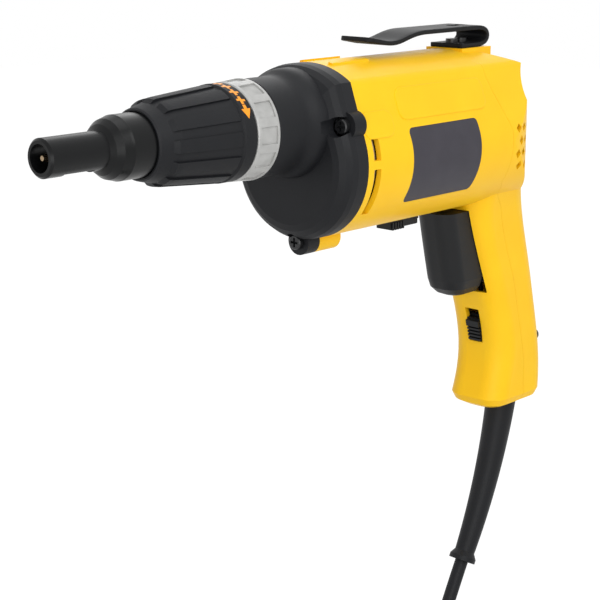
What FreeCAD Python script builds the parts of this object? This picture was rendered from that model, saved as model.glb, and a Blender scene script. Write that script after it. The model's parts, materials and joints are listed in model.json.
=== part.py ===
import FreeCAD, Part
import math
import os
import re

import Sketcher

# Drywall screwdriver. +X is the driving direction, +Z is up, and the origin is the middle of the grip.
# Lengths are millimetres. Every size below is a cell of the sheet, and the pieces are bound to the cells.

V = FreeCAD.Vector
X_AXIS = V(1, 0, 0)
Y_AXIS = V(0, 1, 0)
Z_AXIS = V(0, 0, 1)

SIZES = {
    # places of the two axes and of the joint between gear case and housing
    "flange_x": 140, "spindle_z": 98, "gear_module": 0.6, "pinion_teeth": 12, "gear_teeth": 52,
    # clearances
    "running_gap": 0.05, "seat_gap": 0.05, "slide_gap": 0.4, "seam_gap": 0.15, "end_gap": 0.3,
    # nosepiece and bit
    "nose_tube_r": 8.3, "nose_bore_r": 5.93, "nose_tube_len": 30, "nose_shoulder_len": 8,
    "nose_skirt_r": 14, "nose_skirt_bore_r": 11, "nose_skirt_show": 13, "nose_skirt_seat": 22,
    "nose_edge": 1, "nose_window_len": 16, "nose_window_w": 9, "nose_window_back": 25,
    "o_ring_wire": 1.6, "o_ring_back": 5,
    "bit_tip_back": 1.5, "bit_hex": 6.35, "bit_neck_r": 2.8, "bit_len": 32, "bit_cone_len": 7,
    "bit_flat_r": 1.1,
    "holder_r": 5.2, "holder_len": 24, "holder_shank_len": 23, "holder_socket_len": 13,
    # depth collar, its carrier, and the ring behind it
    "collar_len": 52, "collar_rear_r": 22, "collar_pad_r": 19.2, "collar_front_r": 15.6,
    "collar_taper_len": 11,
    "collar_band_len": 8, "collar_wall": 2.2, "collar_lip_len": 8, "collar_pad_step": 1,
    "collar_pad_angle": 17,
    "collar_pads": 12, "journal_r": 18, "journal_len": 20, "carrier_r": 16.2, "carrier_len": 27.5,
    "carrier_set_back": 12.5,
    "carrier_socket_len": 11, "thread_gap": 0.3, "snap_ring_w": 1.2, "snap_ring_back": 2.2,
    "snap_ring_depth": 0.9,
    "ring_w": 13, "ring_front_r": 22.2, "ring_rear_r": 23, "ring_bead": 1.2, "ring_scallops": 12,
    "ring_scallop_depth": 0.8, "ring_scallop_angle": 20,
    # gear case
    "case_depth": 44, "case_wall": 3, "neck_r": 22.6, "neck_flare_r": 25.5, "neck_flare_len": 16,
    "dome_len": 16, "dome_round": 9, "snout_r": 13, "snout_len": 38, "case_front_wall": 8,
    "case_cavity_r": 18.5,
    "screw_r": 2, "screw_len": 22, "screw_head_r": 3.6, "screw_head_len": 3, "screw_boss_r": 6.5,
    "side_screw_in": 8, "side_screw_z": 98.5, "low_screw_drop": 1.3, "screw_face": 8,
    # spindle, clutch and gears
    "spindle_r": 6.5, "pilot_r": 3.5, "clutch_r": 12.5, "clutch_disc": 4.6, "clutch_dog_len": 2.5,
    "clutch_dog_inner_r": 8.8, "clutch_dog_angle": 40, "clutch_dogs": 3, "clutch_travel": 3,
    "bush_r": 9.5, "bush_len": 32, "hex_depth": 24, "washer_r": 11, "washer_thick": 1.2,
    "clutch_spring_r": 6.4, "clutch_spring_wire": 1.4, "clutch_spring_turns": 3,
    "gear_face": 8, "gear_start": 2, "hub_r": 5, "hub_bush_r": 7, "hub_bush_len": 7, "pressure_angle": 25,
    "backlash": 0.12,
    # motor
    "plate_thick": 8, "shaft_r": 4, "shaft_rear_r": 3, "front_bearing_r": 9.5, "front_bearing_w": 6,
    "rear_bearing_r": 8, "rear_bearing_w": 6, "fan_r": 27.5, "fan_w": 12, "fan_hub_r": 9, "fan_blades": 14,
    "fan_gap": 2, "core_len": 42, "core_back": 78, "core_r": 18.9, "air_gap": 0.6, "core_slots": 12,
    "field_r": 29, "winding_len": 9, "winding_r": 16.5, "commutator_r": 11, "commutator_len": 14,
    "commutator_bars": 24, "commutator_gap": 3, "yoke_thick": 8, "yoke_hole_r": 7, "yoke_hole_in": 11.3,
    "yoke_gap": 2,
    "brush_w": 6, "brush_deep": 8, "brush_len": 10, "brush_box_wall": 1.2, "brush_box_len": 15,
    "brush_spring_r": 2.2, "brush_spring_wire": 0.7, "brush_spring_turns": 3,
    # housing
    "wall": 2.8, "barrel_r": 36.5, "roof_z": 125, "roof_edge_z": 117.5, "roof_half": 25, "roof_round": 5,
    "barrel_back": 5, "plan_round": 33, "saddle_x": 10, "saddle_z": 105, "tail_x": 6, "tail_z": 117,
    "handle_w": 36, "handle_round": 12, "handle_base_z": -74, "foot_round": 6, "heel_x": -39, "toe_x": 9,
    "waist_z": -45, "waist_back_x": -38, "waist_x": 4, "back_low_z": -12, "back_low_x": -30.6,
    "grip_front_x": 11,
    "back_mid_z": 25, "back_mid_x": -20.5, "throat_x": 26, "back_high_z": 58, "back_high_x": -10.4,
    "throat_top_x": 32, "cheek_z": 4, "cheek_back_x": -26.5, "cheek_x": 17.5,
    "neck_z": 46, "neck_back_x": -14.1, "neck_x": 31.5, "neck_flare": 3, "high_flare": 8.5, "top_flare": 12,
    "grip_top_z": 84, "grip_top_back_x": 4, "grip_top_x": 42,
    "seam_top_x": 39, "seam_mid_x": 26.5, "seam_low_x": -17, "cover_screw_r": 1.8, "cover_high_y": 20,
    "cover_high_z": 113.5,
    "cover_low_y": 12.2, "cover_low_z": -38, "cover_boss_r": 4.2, "cover_screw_len": 38,
    "cover_low_len": 30, "cover_head_r": 3.1, "cover_head_len": 2.4,
    "cover_head_deep": 3.5,
    "badge_front_x": 108, "badge_rear_x": 55, "badge_rear_bow": 1.6, "badge_front_bow": 1,
    "badge_corner": 2.5,
    "badge_top_z": 94, "badge_low_z": 58, "badge_thick": 1,
    "vent_w": 5, "vent_len": 19, "vent_back": 4, "field_rib_w": 7,
    "roof_rib": 1, "roof_rib_w": 2.4, "roof_rib_len": 30, "roof_rib_y": 9,
    # trigger, switch, lock and reversing lever
    "trigger_w": 23, "trigger_top_z": 40.5, "trigger_low_z": -6, "trigger_nose_x": 47, "trigger_seat_x": 21,
    "trigger_round": 9, "trigger_travel": 6, "plunger_r": 3, "plunger_len": 16, "plunger_z": 14,
    "switch_front_x": 8, "switch_deep": 20, "switch_w": 24, "switch_low_z": -2, "switch_top_z": 36,
    "trigger_spring_r": 4.6, "trigger_spring_wire": 1, "trigger_spring_turns": 4,
    "lock_w": 9, "lock_high_z": -17, "lock_low_z": -37, "lock_len": 13, "lock_proud": 2,
    "lever_x": 65, "lever_pin_r": 5, "lever_len": 20, "lever_w": 9, "lever_thick": 3.6,
    # belt hook
    "hook_w": 20, "hook_thick": 2.2, "hook_rise": 6.5, "hook_dip_z": 130.5, "hook_dip_x": 90,
    "hook_tip_x": 109, "hook_tip_z": 134, "hook_foot_front_x": 37, "hook_foot_rear_x": 16, "hook_seat_z": 125.2,
    "hook_screw_r": 2,
    # cord
    "cord_d": 7.5, "boot_top_r": 8.5, "boot_low_r": 5.6, "boot_lip_r": 7.5, "boot_lip_len": 5,
    "boot_root_len": 9,
    "boot_root_r": 8, "boot_lip_sunk": 1.5,
    "coil_x": 105, "coil_y": 55, "coil_r": 58, "coil_pitch": 8.3, "coil_turns_in": 4, "coil_turns_out": 3.75,
    "coil_tail_out": 18, "coil_tail_drop": 5.8,
    "floor_z": -232, "tie_thick": 1.3, "tie_w": 8, "plug_len": 38, "plug_r": 10, "blade_len": 16,
    "blade_w": 6.3,
    "blade_thick": 1.5, "blade_pitch": 12.7, "blade_root": 8,
    "boot_x": -21.3, "boot_end_x": 9.6, "boot_end_z": -159.5, "boot_sag": 3.7, "clamp_tall": 10,
    "lead_wire_d": 2.4,
}

doc = FreeCAD.newDocument("drywall_screwdriver")
sheet = doc.addObject("Spreadsheet::Sheet", "Sizes")
for row, (alias, number) in enumerate(SIZES.items(), start=1):
    sheet.set("A%d" % row, alias)
    sheet.set("B%d" % row, str(number))
    sheet.setAlias("B%d" % row, alias)
doc.recompute()

NODES = []

# Places along the spindle, each worked out from the joint between gear case and housing.
MOTOR_Z = "(spindle_z - gear_module * (pinion_teeth + gear_teeth) / 2)"
CASE_FRONT = "(flange_x + case_depth)"
COLLAR_REAR = "(flange_x + case_depth + ring_w + end_gap)"
SKIRT_REAR = "(flange_x + case_depth + ring_w + collar_len - nose_skirt_seat)"
NOSE_TIP = "(flange_x + case_depth + ring_w + collar_len + nose_skirt_show + nose_shoulder_len + nose_tube_len)"
CARRIER_FRONT = "(flange_x + case_depth + ring_w + collar_len - carrier_set_back)"
GEAR_REAR = "(flange_x + gear_start)"
GEAR_FRONT = "(flange_x + gear_start + gear_face)"
DOG_REAR = "(flange_x + gear_start + gear_face + clutch_dog_len + clutch_travel + slide_gap)"
DISC_REAR = "(flange_x + gear_start + gear_face + 2 * clutch_dog_len + clutch_travel + slide_gap)"
DISC_FRONT = "(flange_x + gear_start + gear_face + 2 * clutch_dog_len + clutch_travel + slide_gap + clutch_disc)"
SPINDLE_FRONT = "(%s - bit_tip_back - bit_len + holder_socket_len - holder_len - end_gap)" % NOSE_TIP
CORE_REAR = "(flange_x - core_back)"
CORE_FRONT = "(flange_x - core_back + core_len)"
FAN_REAR = "(flange_x - plate_thick - fan_gap - fan_w)"
COMMUTATOR_FRONT = "(flange_x - core_back - winding_len - commutator_gap)"
YOKE_FRONT = "(flange_x - core_back - winding_len - commutator_gap - commutator_len - yoke_gap)"


def bound(expression):
    """The same expression with every size written as a cell of the sheet."""
    return re.sub(r"[a-z]\w*",
                  lambda word: "Sizes." + word.group() if word.group() in SIZES else word.group(),
                  expression)


def val(expression):
    """An expression's number now."""
    return float(sheet.evalExpression(bound(expression)))


def node(item, label):
    """Name an object as one of the part's pieces."""
    item.Label = label
    NODES.append(item)
    return item


def place(item, x="0", y="0", z="0", turn=None):
    """Bind an object's place, and turn it if a rotation is given."""
    if turn is not None:
        item.Placement = FreeCAD.Placement(V(), turn)
    item.setExpression("Placement.Base.x", bound(x))
    item.setExpression("Placement.Base.y", bound(y))
    item.setExpression("Placement.Base.z", bound(z))
    return item


def origin_plane(body, role):
    return [item for item in body.Origin.OriginFeatures if item.Role == role][0]


def closed_sketch(body, name, outline, role="XZ_Plane"):
    """A closed outline of straight edges, each corner bound to a pair of expressions that aren't negative."""
    sketch = body.newObject("Sketcher::SketchObject", name)
    sketch.AttachmentSupport = [(origin_plane(body, role), "")]
    sketch.MapMode = "FlatFace"
    corners = [V(val(across), val(up), 0) for across, up in outline]
    count = len(corners)
    for index in range(count):
        sketch.addGeometry(Part.LineSegment(corners[index], corners[(index + 1) % count]), False)
    for index in range(count):
        sketch.addConstraint(Sketcher.Constraint("Coincident", index, 2, (index + 1) % count, 1))
    for index, (across, up) in enumerate(outline):
        for kind, axis, text, number in (("DistanceX", -2, across, corners[index].x),
                                         ("DistanceY", -1, up, corners[index].y)):
            if text == "0":
                sketch.addConstraint(Sketcher.Constraint("PointOnObject", index, 1, axis))
            else:
                made = sketch.addConstraint(Sketcher.Constraint(kind, -1, 1, index, 1, number))
                sketch.setExpression("Constraints[%d]" % made, bound(text))
    return sketch


def turned(label, start, axis_z, outline, is_node=True):
    """A piece turned about a line along X, from an outline of (distance from start, radius)."""
    body = doc.addObject("PartDesign::Body", label)
    sketch = closed_sketch(body, label + "_outline", outline)
    solid = body.newObject("PartDesign::Revolution", label + "_turned")
    solid.Profile = sketch
    solid.ReferenceAxis = (sketch, ["H_Axis"])
    solid.Angle = 360
    place(body, x=start, z=axis_z)
    if is_node:
        node(body, label)
    return body


def tube(label, start, axis_z, length, outer, inner, is_node=True):
    """A plain ring or sleeve."""
    outline = [("0", inner), (length, inner), (length, outer), ("0", outer)]
    return turned(label, start, axis_z, outline, is_node)


def repeated(body, name, outline, angle, count, cut=False):
    """Sectors of a turned outline, added to or cut from a turned body and repeated round its axis."""
    sketch = closed_sketch(body, name + "_outline", outline)
    feature = body.newObject("PartDesign::Groove" if cut else "PartDesign::Revolution", name + "_sector")
    feature.Profile = sketch
    feature.ReferenceAxis = (sketch, ["H_Axis"])
    feature.Midplane = True
    feature.setExpression("Angle", bound(angle))
    doc.recompute()
    pattern = body.newObject("PartDesign::PolarPattern", name + "_pattern")
    pattern.Originals = [feature]
    pattern.Axis = (sketch, ["H_Axis"])
    pattern.Angle = 360
    pattern.setExpression("Occurrences", bound(count))
    body.Tip = pattern
    return body


def box(label, x, y, z, length, width, height, is_node=False):
    """A block from its low corner."""
    item = doc.addObject("Part::Box", label)
    item.setExpression("Length", bound(length))
    item.setExpression("Width", bound(width))
    item.setExpression("Height", bound(height))
    place(item, x, y, z)
    return node(item, label) if is_node else item


ALONG_X = FreeCAD.Rotation(Y_AXIS, 90)


def rod(label, x, y, z, radius, length, turn=ALONG_X, is_node=False):
    """A round bar from its end face."""
    item = doc.addObject("Part::Cylinder", label)
    item.setExpression("Radius", bound(radius))
    item.setExpression("Height", bound(length))
    place(item, x, y, z, turn)
    return node(item, label) if is_node else item


def hexagon(label, x, z, across, length):
    """A six-sided bar along X, given across its flats."""
    item = doc.addObject("Part::Prism", label)
    item.Polygon = 6
    item.setExpression("Circumradius", bound("(%s) / sqrt(3)" % across))
    item.setExpression("Height", bound(length))
    return place(item, x, "0", z, ALONG_X)


def fused(label, *items, is_node=False):
    joined = doc.addObject("Part::MultiFuse", label)
    joined.Shapes = list(items)
    joined.Refine = True
    return node(joined, label) if is_node else joined


def cut(label, base, *tools, is_node=False):
    item = doc.addObject("Part::Cut", label)
    item.Base = base
    item.Tool = tools[0] if len(tools) == 1 else fused(label + "_tools", *tools)
    return node(item, label) if is_node else item


def plain(label, shape, is_node=True):
    """A piece whose form is made directly from the sizes."""
    item = doc.addObject("Part::Feature", label)
    item.Shape = shape
    return node(item, label) if is_node else item


# Nosepiece: a turned steel tube with a window to see the screw by, and a skirt that plugs into the carrier.
skirt_end = "(nose_skirt_seat + nose_skirt_show)"
shoulder_end = "(%s + nose_shoulder_len)" % skirt_end
tip_end = "(%s + nose_tube_len)" % shoulder_end
groove_low = "(o_ring_back - o_ring_wire / 2 - seat_gap)"
groove_high = "(o_ring_back + o_ring_wire / 2 + seat_gap)"
groove_r = "(nose_skirt_r - o_ring_wire)"
nose_blank = turned("nose_blank", SKIRT_REAR, "spindle_z", [
    ("0", "nose_skirt_bore_r"),
    (skirt_end + " - nose_shoulder_len / 2", "nose_skirt_bore_r"),
    (skirt_end, "nose_bore_r"),
    (tip_end, "nose_bore_r"),
    (tip_end, "nose_tube_r - nose_edge"),
    (tip_end + " - nose_edge", "nose_tube_r"),
    (shoulder_end, "nose_tube_r"),
    (shoulder_end + " - nose_shoulder_len * 0.2", "nose_tube_r + (nose_skirt_r - nose_tube_r) * 0.42"),
    (shoulder_end + " - nose_shoulder_len * 0.55", "nose_tube_r + (nose_skirt_r - nose_tube_r) * 0.78"),
    (skirt_end, "nose_skirt_r - nose_edge / 3"),
    (skirt_end + " - nose_edge", "nose_skirt_r"),
    (groove_high, "nose_skirt_r"),
    (groove_high, groove_r),
    (groove_low, groove_r),
    (groove_low, "nose_skirt_r"),
    ("nose_edge", "nose_skirt_r"),
    ("0", "nose_skirt_r - nose_edge"),
], is_node=False)
window = box("nose_window", NOSE_TIP + " - nose_window_back", "-nose_window_w / 2",
             "spindle_z - 2 * nose_tube_r",
             "nose_window_len", "nose_window_w", "2 * nose_tube_r - nose_bore_r / 2")
cut("nosepiece", nose_blank, window, is_node=True)

o_ring = doc.addObject("Part::Torus", "nose_o_ring")
o_ring.setExpression("Radius1", bound("nose_skirt_r - o_ring_wire / 2 + seat_gap"))
o_ring.setExpression("Radius2", bound("o_ring_wire / 2 - seat_gap / 2"))
place(o_ring, SKIRT_REAR + " + o_ring_back", "0", "spindle_z", ALONG_X)
node(o_ring, "nose_o_ring")

# Screwdriver bit, its magnetic holder, and the spindle that carries them.
BIT_REAR = "(%s - bit_tip_back - bit_len)" % NOSE_TIP
HOLDER_FRONT = "(%s - bit_tip_back - bit_len + holder_socket_len)" % NOSE_TIP
HOLDER_BODY = "(%s - holder_len)" % HOLDER_FRONT
bit_hexagon = hexagon("bit_hexagon", BIT_REAR, "spindle_z", "bit_hex", "holder_socket_len + 2")
bit_neck = turned("bit_neck", BIT_REAR, "spindle_z", [
    ("holder_socket_len", "0"),
    ("bit_len", "0"),
    ("bit_len", "bit_flat_r"),
    ("bit_len - bit_cone_len", "bit_neck_r"),
    ("holder_socket_len", "bit_neck_r"),
], is_node=False)
bit_flutes = []
for index in range(4):
    flute = box("bit_flute_%d" % index, "0", "0", "0", "bit_cone_len + 1", "bit_neck_r", "bit_neck_r")
    flute.setExpression("Placement.Base.x", bound(BIT_REAR + " + bit_len - bit_cone_len"))
    flute.setExpression("Placement.Base.y", bound("bit_flat_r * 0.6 * cos(%d) - bit_flat_r * 0.6 * sin(%d)"
                                                  % (index * 90, index * 90)))
    flute.setExpression("Placement.Base.z",
                        bound("spindle_z + bit_flat_r * 0.6 * sin(%d) + bit_flat_r * 0.6 * cos(%d)"
                                                  % (index * 90, index * 90)))
    flute.Placement = FreeCAD.Placement(flute.Placement.Base, FreeCAD.Rotation(X_AXIS, index * 90))
    bit_flutes.append(flute)
bit_solid = fused("bit_solid", bit_hexagon, bit_neck)
cut("phillips_bit", bit_solid, *bit_flutes, is_node=True)

holder_body = rod("holder_body", HOLDER_BODY, "0", "spindle_z", "holder_r", "holder_len")
holder_shank = hexagon("holder_shank", HOLDER_BODY + " - holder_shank_len", "spindle_z", "bit_hex",
                       "holder_shank_len + 1")
holder_socket = hexagon("holder_socket", BIT_REAR + " - seat_gap", "spindle_z", "bit_hex + 2 * seat_gap",
                        "holder_socket_len + 1")
holder_solid = fused("holder_solid", holder_body, holder_shank)
cut("bit_holder", holder_solid, holder_socket, is_node=True)

pilot_end = "(%s - flange_x + plate_thick - 2)" % DISC_REAR
spindle_blank = turned("spindle_blank", "flange_x - plate_thick + 2", "spindle_z", [
    ("0", "0"),
    (SPINDLE_FRONT + " - flange_x + plate_thick - 2", "0"),
    (SPINDLE_FRONT + " - flange_x + plate_thick - 2", "spindle_r"),
    (pilot_end + " + clutch_disc", "spindle_r"),
    (pilot_end + " + clutch_disc", "clutch_r"),
    (pilot_end, "clutch_r"),
    (pilot_end, "pilot_r"),
    ("0", "pilot_r"),
], is_node=False)
repeated(spindle_blank, "spindle_dogs", [
    (pilot_end + " - clutch_dog_len", "clutch_dog_inner_r"),
    (pilot_end + " + 1", "clutch_dog_inner_r"),
    (pilot_end + " + 1", "clutch_r"),
    (pilot_end + " - clutch_dog_len", "clutch_r"),
], "clutch_dog_angle", "clutch_dogs")
spindle_socket = hexagon("spindle_socket", SPINDLE_FRONT + " - hex_depth", "spindle_z",
                         "bit_hex + 2 * seat_gap",
                         "hex_depth + 1")
cut("spindle", spindle_blank, spindle_socket, is_node=True)

tube("spring_seat_washer", DISC_FRONT + " + end_gap", "spindle_z", "washer_thick", "washer_r",
     "spindle_r + running_gap")
tube("spindle_bush", CASE_FRONT + " - 4", "spindle_z", "bush_len", "bush_r - seat_gap",
     "spindle_r + running_gap")

# Depth setting: the collar turns on the case's journal and screws the carrier along the snout.
collar_taper = "(collar_len - end_gap - collar_taper_len)"
collar_blank = turned("depth_collar", COLLAR_REAR, "spindle_z", [
    ("0", "journal_r + running_gap"),
    ("snap_ring_back", "journal_r + running_gap"),
    ("snap_ring_back", "journal_r + snap_ring_depth + 4 * running_gap"),
    ("snap_ring_back + snap_ring_w + end_gap", "journal_r + snap_ring_depth + 4 * running_gap"),
    ("snap_ring_back + snap_ring_w + end_gap", "journal_r + running_gap"),
    ("journal_len - ring_w + end_gap", "journal_r + running_gap"),
    ("journal_len - ring_w + end_gap", "carrier_r + thread_gap"),
    ("collar_len - end_gap - collar_lip_len", "carrier_r + thread_gap"),
    ("collar_len - end_gap - collar_lip_len", "nose_skirt_r + thread_gap"),
    ("collar_len - end_gap", "nose_skirt_r + thread_gap"),
    ("collar_len - end_gap", "collar_front_r - 0.6"),
    ("collar_len - end_gap - 0.8", "collar_front_r"),
    (collar_taper, "collar_pad_r - collar_pad_step"),
    ("collar_band_len", "collar_rear_r - collar_pad_step"),
    ("collar_band_len - 1", "collar_rear_r"),
    ("0.6", "collar_rear_r"),
    ("0", "collar_rear_r - 0.6"),
])
repeated(collar_blank, "collar_pads_raised", [
    (collar_taper + " + 5", "collar_pad_r - 2.6"),
    (collar_taper + " + 2.6", "collar_pad_r - collar_pad_step * 0.4"),
    (collar_taper, "collar_pad_r"),
    ("collar_band_len + 1", "collar_rear_r - collar_pad_step * 0.25"),
    ("collar_band_len", "collar_rear_r - collar_pad_step"),
    ("collar_band_len", "collar_rear_r - 2.5"),
    (collar_taper, "collar_pad_r - collar_wall"),
], "collar_pad_angle", "collar_pads")
tube("collar_snap_ring", COLLAR_REAR + " + snap_ring_back + end_gap / 2", "spindle_z", "snap_ring_w",
     "journal_r + snap_ring_depth", "journal_r - snap_ring_depth + seat_gap")
carrier = turned("depth_carrier", CARRIER_FRONT + " - carrier_len", "spindle_z", [
    ("0", "snout_r + running_gap"),
    ("carrier_len - carrier_socket_len", "snout_r + running_gap"),
    ("carrier_len - carrier_socket_len", "nose_skirt_r + 2 * running_gap"),
    ("carrier_len", "nose_skirt_r + 2 * running_gap"),
    ("carrier_len", "carrier_r - 0.4"),
    ("carrier_len - 0.4", "carrier_r"),
    ("0.4", "carrier_r"),
    ("0", "carrier_r - 0.4"),
])
ring = turned("detent_ring", CASE_FRONT + " + seat_gap", "spindle_z", [
    ("0", "journal_r + seat_gap"),
    ("ring_w - seat_gap", "journal_r + seat_gap"),
    ("ring_w - seat_gap", "ring_front_r - 0.5"),
    ("ring_w - seat_gap - 0.5", "ring_front_r"),
    ("ring_w - ring_bead", "ring_front_r"),
    ("ring_bead", "ring_rear_r"),
    ("0.5", "ring_rear_r"),
    ("0", "ring_rear_r - 0.5"),
])
repeated(ring, "ring_scallop", [
    ("ring_bead + 0.6", "ring_rear_r - ring_scallop_depth"),
    ("ring_w - ring_bead - 0.8", "ring_front_r - ring_scallop_depth"),
    ("ring_w - ring_bead - 0.8", "ring_rear_r + 2"),
    ("ring_bead + 0.6", "ring_rear_r + 2"),
], "ring_scallop_angle", "ring_scallops", cut=True)


# Barrel of the housing. Its cross-section is an arc about the motor, slanted sides and a low arched roof.
def barrel_face(inset, x):
    """The barrel's cross-section at x, drawn in by inset."""
    motor_z = val(MOTOR_Z)
    radius = val("barrel_r") - inset
    corner = V(x, val("roof_half") - 0.8 * inset, val("roof_edge_z") - inset)
    crown = V(x, 0, val("roof_z") - inset)
    reach = math.hypot(corner.y, corner.z - motor_z)
    lean = math.atan2(corner.z - motor_z, corner.y)
    touch = lean - math.acos(radius / reach)
    tangent = V(x, radius * math.cos(touch), motor_z + radius * math.sin(touch))
    mirrored = [V(point.x, -point.y, point.z) for point in (corner, tangent)]
    edges = [
        Part.Arc(mirrored[0], crown, corner).toShape(),
        Part.LineSegment(corner, tangent).toShape(),
        Part.Arc(tangent, V(x, 0, motor_z - radius), mirrored[1]).toShape(),
        Part.LineSegment(mirrored[1], mirrored[0]).toShape(),
    ]
    return Part.Face(Part.Wire(edges))


def barrel(inset, low_x, high_x):
    """A length of the barrel with its two roof edges rounded."""
    solid = barrel_face(inset, low_x).extrude(V(high_x - low_x, 0, 0))
    corner_z = val("roof_edge_z") - inset
    corner_y = val("roof_half") - 0.8 * inset
    roof_edges = [edge for edge in solid.Edges
                  if abs(edge.Vertexes[0].Z - corner_z) < 0.01 and abs(edge.Vertexes[-1].Z - corner_z) < 0.01
                  and abs(abs(edge.Vertexes[0].Y) - corner_y) < 0.01
                  and abs(edge.Vertexes[0].X - edge.Vertexes[-1].X) > 1]
    return solid.makeFillet(val("roof_round"), roof_edges)


def waisted_back(tail, saddle, foot):
    """The back's line in the XZ plane: an arc upright at the saddle, and a straight run on to the foot."""
    along = tail[0] - saddle[0]
    rise = tail[1] - saddle[1]
    radius = (along * along + rise * rise) / (-2 * along)
    middle = saddle[0] - radius
    reach = math.hypot(foot[0] - middle, foot[1] - saddle[1])
    turn = math.atan2(foot[1] - saddle[1], foot[0] - middle) + math.acos(radius / reach)
    touch = (middle + radius * math.cos(turn), saddle[1] + radius * math.sin(turn))
    bend = Part.Arc(V(tail[0], 0, tail[1]), V(saddle[0], 0, saddle[1]), V(touch[0], 0, touch[1])).toShape()
    return [bend, line(touch, foot)]


def line(first, last):
    return Part.LineSegment(V(first[0], 0, first[1]), V(last[0], 0, last[1])).toShape()


def side_slab(edges, half):
    """A closed outline of the XZ plane, made a slab across Y."""
    face = Part.Face(Part.Wire(Part.__sortEdges__(edges)))
    face.translate(V(0, -half, 0))
    return face.extrude(V(0, 2 * half, 0))


def rear_shape(inset):
    """What the barrel keeps behind: its side view and its plan, both rounded at the back."""
    far = val("flange_x") + 5
    top = val("roof_z") + 10
    back = [(val("saddle_x") + inset, val("saddle_z")), (val("back_high_x") + inset, val("back_high_z"))]
    tail = (val("tail_x") + inset, val("tail_z") - inset)
    slope = (val("tail_x") + 26, val("roof_z") - inset)
    low = (back[1][0], val("back_high_z") - 30)
    side = side_slab(waisted_back(tail, back[0], back[1]) + [
        line(back[1], low), line(low, (far, low[1])), line((far, low[1]), (far, top)), line((far, top),
                                                                                            (slope[0], top)),
        line((slope[0], top), slope), line(slope, tail)], 60)
    rear = val("heel_x")
    half = val("barrel_r") - inset
    bend = val("plan_round") - inset
    start = val("barrel_back") - 12 + inset
    plan = Part.Face(Part.Wire([
        Part.LineSegment(V(far, -half, 0), V(start + bend, -half, 0)).toShape(),
        Part.Arc(V(start + bend, -half, 0), V(start + bend * (1 - math.sqrt(0.5)),
                                              -half + bend * (1 - math.sqrt(0.5)), 0),
                 V(start, -half + bend, 0)).toShape(),
        Part.LineSegment(V(start, -half + bend, 0), V(start, half - bend, 0)).toShape(),
        Part.Arc(V(start, half - bend, 0), V(start + bend * (1 - math.sqrt(0.5)),
                                             half - bend * (1 - math.sqrt(0.5)), 0),
                 V(start + bend, half, 0)).toShape(),
        Part.LineSegment(V(start + bend, half, 0), V(far, half, 0)).toShape(),
        Part.LineSegment(V(far, half, 0), V(far, -half, 0)).toShape()]))
    plan.translate(V(0, 0, rear))
    return side.common(plan.extrude(V(0, 0, top - rear)))


def grip_section(z, back, front, half, corner, back_corner=None):
    """One level section of a grip: a rectangle with round corners, which may differ at the back."""
    edges = []
    corners = [(front, half, 1, 1), (back, half, -1, 1), (back, -half, -1, -1), (front, -half, 1, -1)]
    ends = []
    front_corner = corner
    for x, y, along, side in corners:
        corner = front_corner if along > 0 or back_corner is None else back_corner
        bend = corner * (1 - math.sqrt(0.5))
        first = V(x, y - side * corner, z)
        last = V(x - along * corner, y, z)
        if along * side < 0:
            first, last = last, first
        ends.append((first, V(x - along * bend, y - side * bend, z), last))
    for index, (first, middle, last) in enumerate(ends):
        edges.append(Part.Arc(first, middle, last).toShape())
        edges.append(Part.LineSegment(last, ends[(index + 1) % 4][0]).toShape())
    return Part.Wire(edges)


def handle(inset):
    """The grip: a smooth loft through level sections, with a rounded foot."""
    half = val("handle_w") / 2 - inset
    corner = val("handle_round") - inset
    base = val("handle_base_z") + inset
    foot = val("foot_round")
    levels = [
        (base + foot, val("heel_x"), val("toe_x"), 0, 0),
        (val("waist_z"), val("waist_back_x"), val("waist_x"), 0, 0),
        (val("back_low_z"), val("back_low_x"), val("grip_front_x"), 0, 0),
        (val("cheek_z"), val("cheek_back_x"), val("cheek_x"), 0, 0),
        (val("back_mid_z"), val("back_mid_x"), val("throat_x"), 0, 0),
        (val("neck_z"), val("neck_back_x"), val("neck_x"), val("neck_flare"), val("neck_flare")),
        (val("back_high_z"), val("back_high_x"), val("throat_top_x"), val("high_flare"), val("high_flare")),
        (val("grip_top_z"), val("grip_top_back_x"), val("grip_top_x"), val("top_flare"), val("high_flare")),
    ]
    grip = Part.makeLoft([grip_section(z, back + inset, front - inset, half + flare, corner, corner + rounder)
                          for z, back, front, flare, rounder in levels], True, False)
    z, back, front = levels[0][:3]
    sole = grip_section(base, back + inset + foot, front - inset - foot, half - foot, corner - foot / 2)
    bulge = grip_section(base + foot * 0.4, back + inset + foot * 0.25, front - inset - foot * 0.25,
                         half - foot * 0.25, corner - foot * 0.1)
    rim = grip_section(z, back + inset, front - inset, half, corner)
    return grip.fuse(Part.makeLoft([sole, bulge, rim], True, True))


def housing_form(inset):
    """The whole outside of the housing, drawn in by inset."""
    low_x = val("back_high_x") - 30
    body = barrel(inset, low_x, val("flange_x")).common(rear_shape(inset))
    return body.fuse(handle(inset)).removeSplitter()


OUTER = housing_form(0)
INNER = housing_form(val("wall"))


# Gear case: a dome on the housing's flange, a flared neck, the collar's journal and the carrier's snout.
def block(low, high):
    """A block between two corners."""
    return Part.makeBox(high[0] - low[0], high[1] - low[1], high[2] - low[2], V(*low))


def bar(start, axis, radius, length):
    """A round bar from the middle of its end face."""
    return Part.makeCylinder(radius, length, V(*start), axis)


LOW_SCREW_Z = val(MOTOR_Z + " - barrel_r - low_screw_drop")
SIDE_SCREW_Y = val("barrel_r - side_screw_in")
SCREW_SPOTS = [(SIDE_SCREW_Y, val("side_screw_z")), (-SIDE_SCREW_Y, val("side_screw_z")), (0, LOW_SCREW_Z)]


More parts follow.
